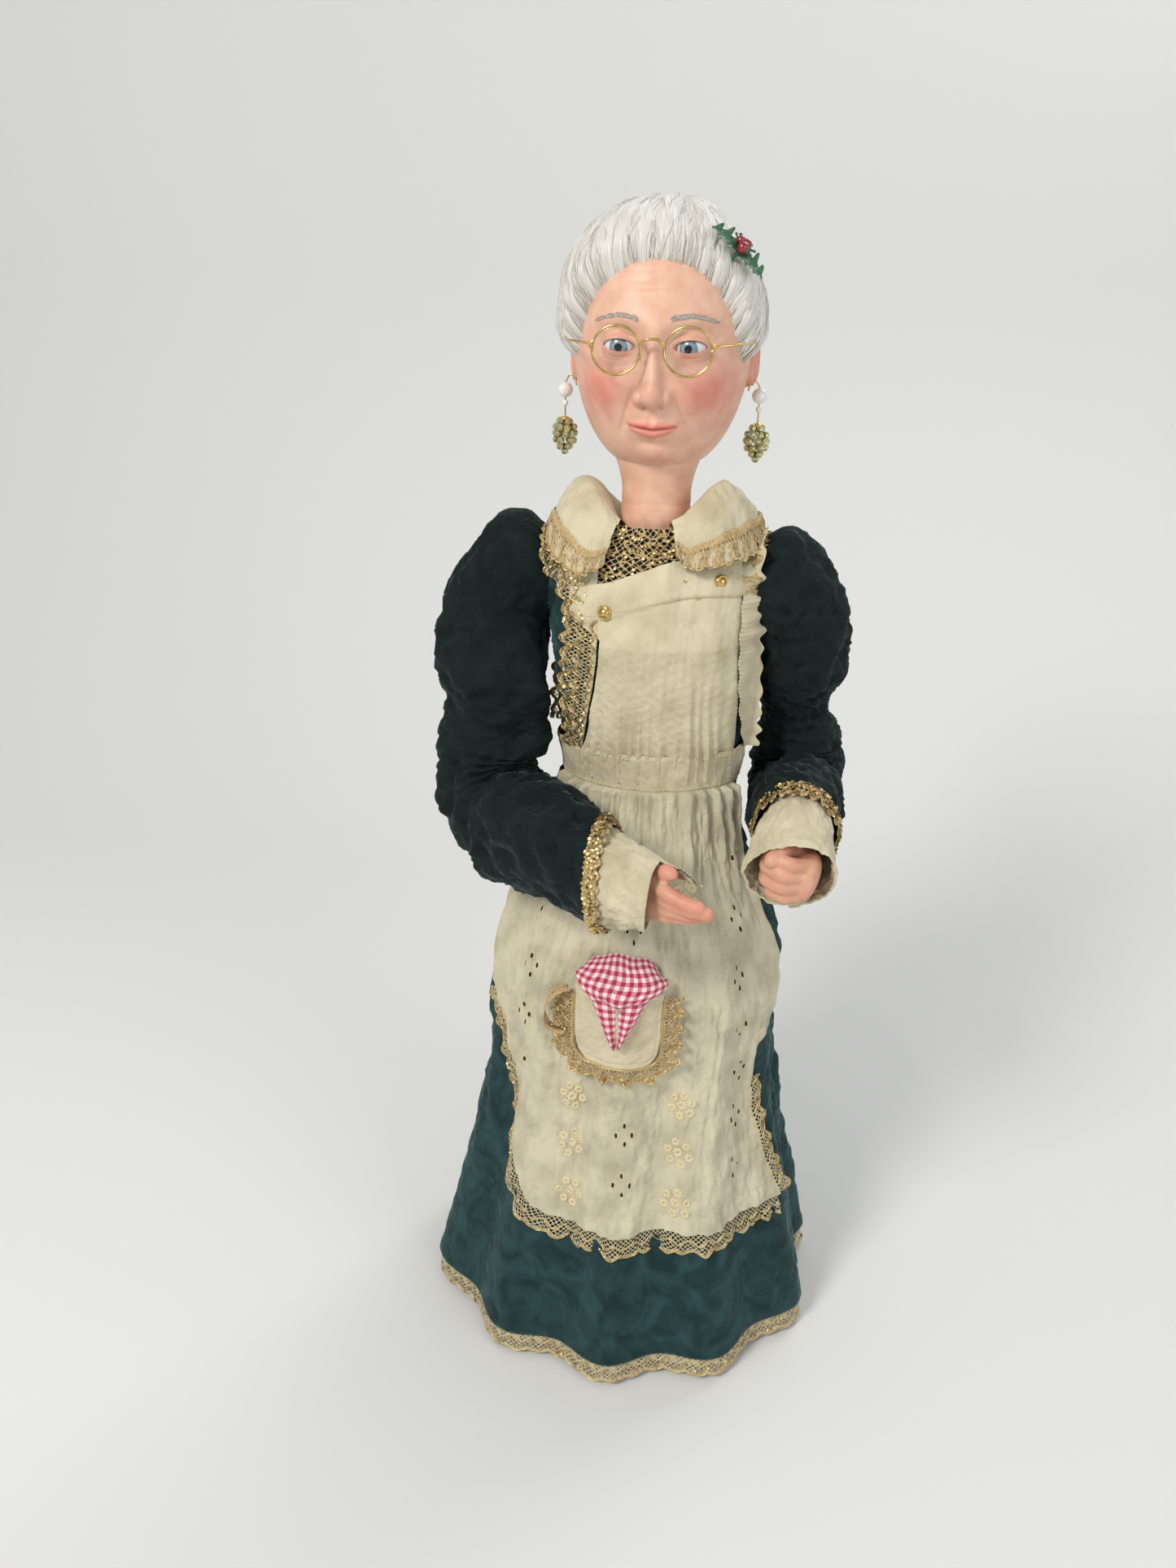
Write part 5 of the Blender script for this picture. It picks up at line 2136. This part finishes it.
def make_bun():
    bun = Work()
    middle = EYE_MIDDLE + np.array([0.0, 27.0, 49.0])
    for strand in range(3):
        steps = np.linspace(0, 1, 150)
        turn = steps * math.tau * 2.35 + strand * 2.1
        reach = 17.5 * (1 - steps) ** 0.8 + 1.5 + 0.8 * np.sin(turn * 2.5 + strand)
        rise = (
            -2.0 + 11.5 * np.sqrt(np.clip(1 - (reach / 20.5) ** 2, 0, 1))
            + 1.2 * np.sin(turn * 3 + 2 * strand)
        )
        run = (
            middle
            + xyz(
                1.22 * reach * np.cos(turn), 0.98 * reach * np.sin(turn), rise + 0.12 * reach * np.sin(turn)
            )
        )
        radii = 5.0 * np.sin(np.linspace(0.35, 2.95, 150)) ** 0.5
        around = full_turn(44)
        combed = (
            0.05 * np.abs(np.cos(8 * around[None] + 3.0 * steps[:, None]))
            + 0.04 * np.abs(np.cos(11 * around[None] + 5 * steps[:, None]))
        )
        away = unit(run - (middle - np.array([0, 0, 14.0])))
        bun.tube(run, radii, 44, flat=0.8, up=away, grooves=combed)
    polar, around = np.meshgrid(np.linspace(0.05, math.pi - 0.05, 20), full_turn(40), indexing="ij")
    core = (
        middle
        + xyz(
            19 * np.sin(polar) * np.cos(around), 16 * np.sin(polar) * np.sin(around),
            -9.5 * np.cos(polar) - 1.0
        )
    )
    bun.grid(core, around=True)
    bun.make("bun_coil", white_hair, "head", "hair", ("wig_bun",))


make_wig()
make_bun()


# Spectacles, ear drops and holly.
# Round gilt wire spectacles with clear plastic lenses sit on the nose, their arms running into the hair.
# Each ear has a pearl over a cluster of lustrous beads, and a cloth holly sprig is pinned in the hair.
def lens_finish():
    material = bpy.data.materials.new("clear_lens")
    material.use_nodes = True
    tree = material.node_tree
    tree.nodes.clear()
    output = add_node(tree, "OutputMaterial")
    clear = add_node(tree, "BsdfTransparent", Color=(0.97, 0.985, 0.985, 1.0))
    gloss = add_node(tree, "BsdfAnisotropic", Color=(1.0, 1.0, 1.0, 1.0), Roughness=0.03)
    slant = add_node(tree, "LayerWeight", Blend=0.14)
    mixed = add_node(tree, "MixShader", Fac=slant.outputs["Facing"])
    tree.links.new(clear.outputs["BSDF"], mixed.inputs[1])
    tree.links.new(gloss.outputs["BSDF"], mixed.inputs[2])
    tree.links.new(mixed.outputs["Shader"], output.inputs["Surface"])
    return material


def make_spectacles():
    rim_y = -49.5
    wire = Work()
    clear = lens_finish()
    ring = np.linspace(0, math.tau, 73)
    for word, side in (("right", -1), ("left", 1)):
        centre = EYE_MIDDLE + np.array([side * EYE_X, rim_y, -1.5])
        loop = centre + xyz(10.35 * np.cos(ring), -0.5 + 0.35 * np.cos(2 * ring), 10.0 * np.sin(ring))
        wire.tube(loop, 0.55, 8, up=(0.0, 1.0, 0.0), ends=False)
        run = (
            EYE_MIDDLE
            + smooth_run(
                [
                    (side * 25.6, rim_y - 0.2, 0.6), (side * 28.5, rim_y + 0.4, 1.2),
                    (side * 37.0, rim_y + 5.0, 1.8), (side * 42.0, -26.0, 2.0), (side * 43.6, -14.0, 2.0),
                    (side * 44.0, 6.0, 2.4)
                ],
                60
            )
        )
        wire.tube(run, 0.5, 8)
        wire.tube(
            EYE_MIDDLE + np.array(
                [
                    (side * 25.2, rim_y - 0.6, 2.0), (side * 26.6, rim_y - 0.6, 1.2),
                    (side * 26.6, rim_y - 0.6, -0.6), (side * 25.2, rim_y - 0.6, -1.2)
                ]
            ),
            0.75, 8, up=(0.0, 1.0, 0.0)
        )
        wire.bead(EYE_MIDDLE + np.array([side * 26.6, rim_y - 0.4, 0.9]), 1.0, 10, 7)
        pad = (
            EYE_MIDDLE
            + smooth_run(
                [
                    (side * 6.0, rim_y, -3.0), (side * 5.0, rim_y + 2.0, -3.4),
                    (side * 5.2, rim_y + 2.8, -5.6)
                ],
                16
            )
        )
        wire.tube(pad, 0.3, 6)
        rise, turn = np.meshgrid(np.linspace(0, 1, 14), full_turn(48), indexing="ij")
        reach = np.sin(rise * math.pi)
        front = -1.1 + 0.9 * np.cos(rise * math.pi)
        face = (
            centre
            + xyz(
                9.9 * reach * np.cos(turn),
                -0.5 + 0.35 * np.cos(2 * turn) * reach + 0.35 * front - 0.5 * (1 - reach**2),
                9.6 * reach * np.sin(turn)
            )
        )
        glass = Work()
        glass.grid(face, around=True)
        glass.make(word + "_lens_clear", clear, "head", "lens", (word + "_lens",))
    bridge = (
        EYE_MIDDLE
        + smooth_run(
            [
                (-5.3, rim_y - 0.4, 0.4), (-4.2, rim_y - 1.2, 2.2), (-2.0, rim_y - 1.8, 3.3),
                (2.0, rim_y - 1.8, 3.3), (4.2, rim_y - 1.2, 2.2), (5.3, rim_y - 0.4, 0.4)
            ],
            40
        )
    )
    wire.tube(bridge, 0.6, 8, up=(0.0, 1.0, 0.0))
    wire.make("spectacle_wire", gilt_wire, "head", "gilt_wire", ("spectacle_frame",))


def bead_finish():
    finish = Finish("beetle_beads", (0.45, 0.42, 0.18), 0.2, 0.75, Coat_Weight=1.0, Coat_Roughness=0.05)
    patches = finish.noise(420.0, 2.0)
    finish.tint(
        patches, (0.3, (0.10, 0.30, 0.16)), (0.42, (0.50, 0.42, 0.14)), (0.55, (0.66, 0.55, 0.28)),
        (0.68, (0.16, 0.42, 0.34)), (0.8, (0.44, 0.22, 0.26)),
    )
    finish.bump(patches, 0.0001)
    return finish.material


def make_ear_drops():
    pearl = speckled_finish(
        "pearl_lustre", (0.72, 0.68, 0.62), (0.84, 0.82, 0.79), 0.16, 0.006, 0.0, 0.00001, Coat_Weight=0.7,
        Coat_Roughness=0.08
    )
    lustre = bead_finish()
    for word, side in (("right", -1), ("left", 1)):
        chance = random.Random(31 + side)
        top = np.array([side * 46.1, 3.0, NECK_Z + EYE_UP - 22.0])
        drop, beads = Work(), Work()
        drop.bead(top, 3.6, 24, 16)
        drop.bead(top - np.array([0, 0, 6.0]), 1.5, 14, 9)
        drop.make(word + "_drop_pearl", pearl, "head", "pearl", (word + "_pearl_drop",))
        wire = Work()
        hook = (
            top
            + smooth_run(
                [
                    (-side * 5.4, 0.0, 2.2), (-side * 4.6, -1.0, 6.4), (-side * 2.0, -0.8, 7.0),
                    (0.0, 0.0, 3.4)
                ],
                24
            )
        )
        wire.tube(hook, 0.4, 7)
        wire.tube(top - np.array([(0, 0, 3.0), (0, 0.001, 6.0), (0, 0, 14.5)]), 0.4, 7, up=(1.0, 0.0, 0.0))
        cap = top - np.array([0, 0, 13.2])
        wire.bead(cap, 2.4, 12, 7, (1, 1, 0.5))
        wire.make(word + "_drop_wire", gilt_wire, "head", "gilt_wire")
        for level, count, reach in (
            (-14.6, 4, 2.6), (-17.2, 6, 4.2), (-20.2, 7, 4.9), (-23.2, 6, 4.3), (-26.0, 4, 2.6),
            (-28.2, 1, 0.0)
        ):
            for k in range(count):
                turn = (k + 0.5 * (level % 2) + chance.uniform(-0.1, 0.1)) / count * math.tau + level
                spot = (
                    top
                    + np.array(
                        [reach * math.cos(turn), reach * math.sin(turn), level + chance.uniform(-0.3, 0.3)]
                    )
                )
                beads.bead(spot, chance.uniform(1.65, 2.05), 8, 5)
        cluster = beads.make(word + "_drop_beads", lustre, "head", "pearl")
        cluster.data.polygons.foreach_set("use_smooth", [False] * len(cluster.data.polygons))


def leaf_finish():
    finish = Finish("holly_cloth", (0.035, 0.13, 0.055), 0.42, Sheen_Weight=0.1)
    tone = finish.noise(180.0, 3.0)
    finish.tint(tone, (0.3, (0.016, 0.075, 0.032)), (0.7, (0.05, 0.17, 0.075)))
    finish.bump(tone, 0.0003)
    return finish.material


def make_holly():
    way = unit(np.array([0.64, -0.55, 0.54]))
    seat = HAIR_CENTRE + np.array([way[0] * 49, way[1] * 54, way[2] * 64]) + way * 2.6
    across = unit(np.cross((0.0, 0.0, 1.0), way))
    upward = np.cross(way, across)
    leaves, berries = Work(), Work()
    for turn, length, tilt in ((2.25, 17.5, 0.25), (-0.85, 17.0, 0.2), (0.75, 11.5, 0.5)):
        u, v = crossed((0, 1, 49), (-1, 1, 17))
        half = (
            4.3 * np.sin(math.pi * np.clip(u, 0, 1)) ** 0.75
            * (1 + 0.42 * np.abs(np.cos(3.5 * math.pi * u + 0.4)) ** 2 * np.sign(np.cos(7 * math.pi * u)))
        )
        half = np.clip(half, 0.15, None)
        along = u * length - 2.0
        veins = 0.22 * np.cos(u * 44 - np.abs(v) * 7) * (1 - np.exp(-np.abs(v) / 0.1))
        lift = (
            0.6 + tilt * along * 0.35 + 1.5 * np.abs(v) ** 1.4 * half / 5 - 1.7 * u**2
            + 0.9 * np.cos(7 * math.pi * u) * v**2 + veins * 0.6
        )
        side_way, long_way = v * half, along
        a = long_way * math.cos(turn) - side_way * math.sin(turn)
        b = long_way * math.sin(turn) + side_way * math.cos(turn)
        leaves.grid(seat + a[..., None] * across + b[..., None] * upward + lift[..., None] * way)
    leaves.tube(seat + np.array([-way * 5, -way * 1, way * 1.5]), 0.9, 8, up=(1.0, 0.0, 0.0))
    leaves.make("holly_cloth_leaves", leaf_finish(), "head", "leaf", ("holly_leaves",))
    for a, b, c, size in ((0.2, 0.4, 3.2, 2.5), (3.6, 2.3, 3.0, 2.2), (1.4, 4.1, 2.6, 2.1)):
        berries.bead(seat + a * across + b * upward + c * way, size, 20, 14)
    red = speckled_finish(
        "berry_red", (0.16, 0.008, 0.012), (0.30, 0.018, 0.028), 0.25, 0.004, 0.0, 0.00003, Coat_Weight=0.6,
        Coat_Roughness=0.1
    )
    berries.make("holly_bead_berries", red, "head", "berry", ("holly_berries",))


make_spectacles()
make_ear_drops()
make_holly()
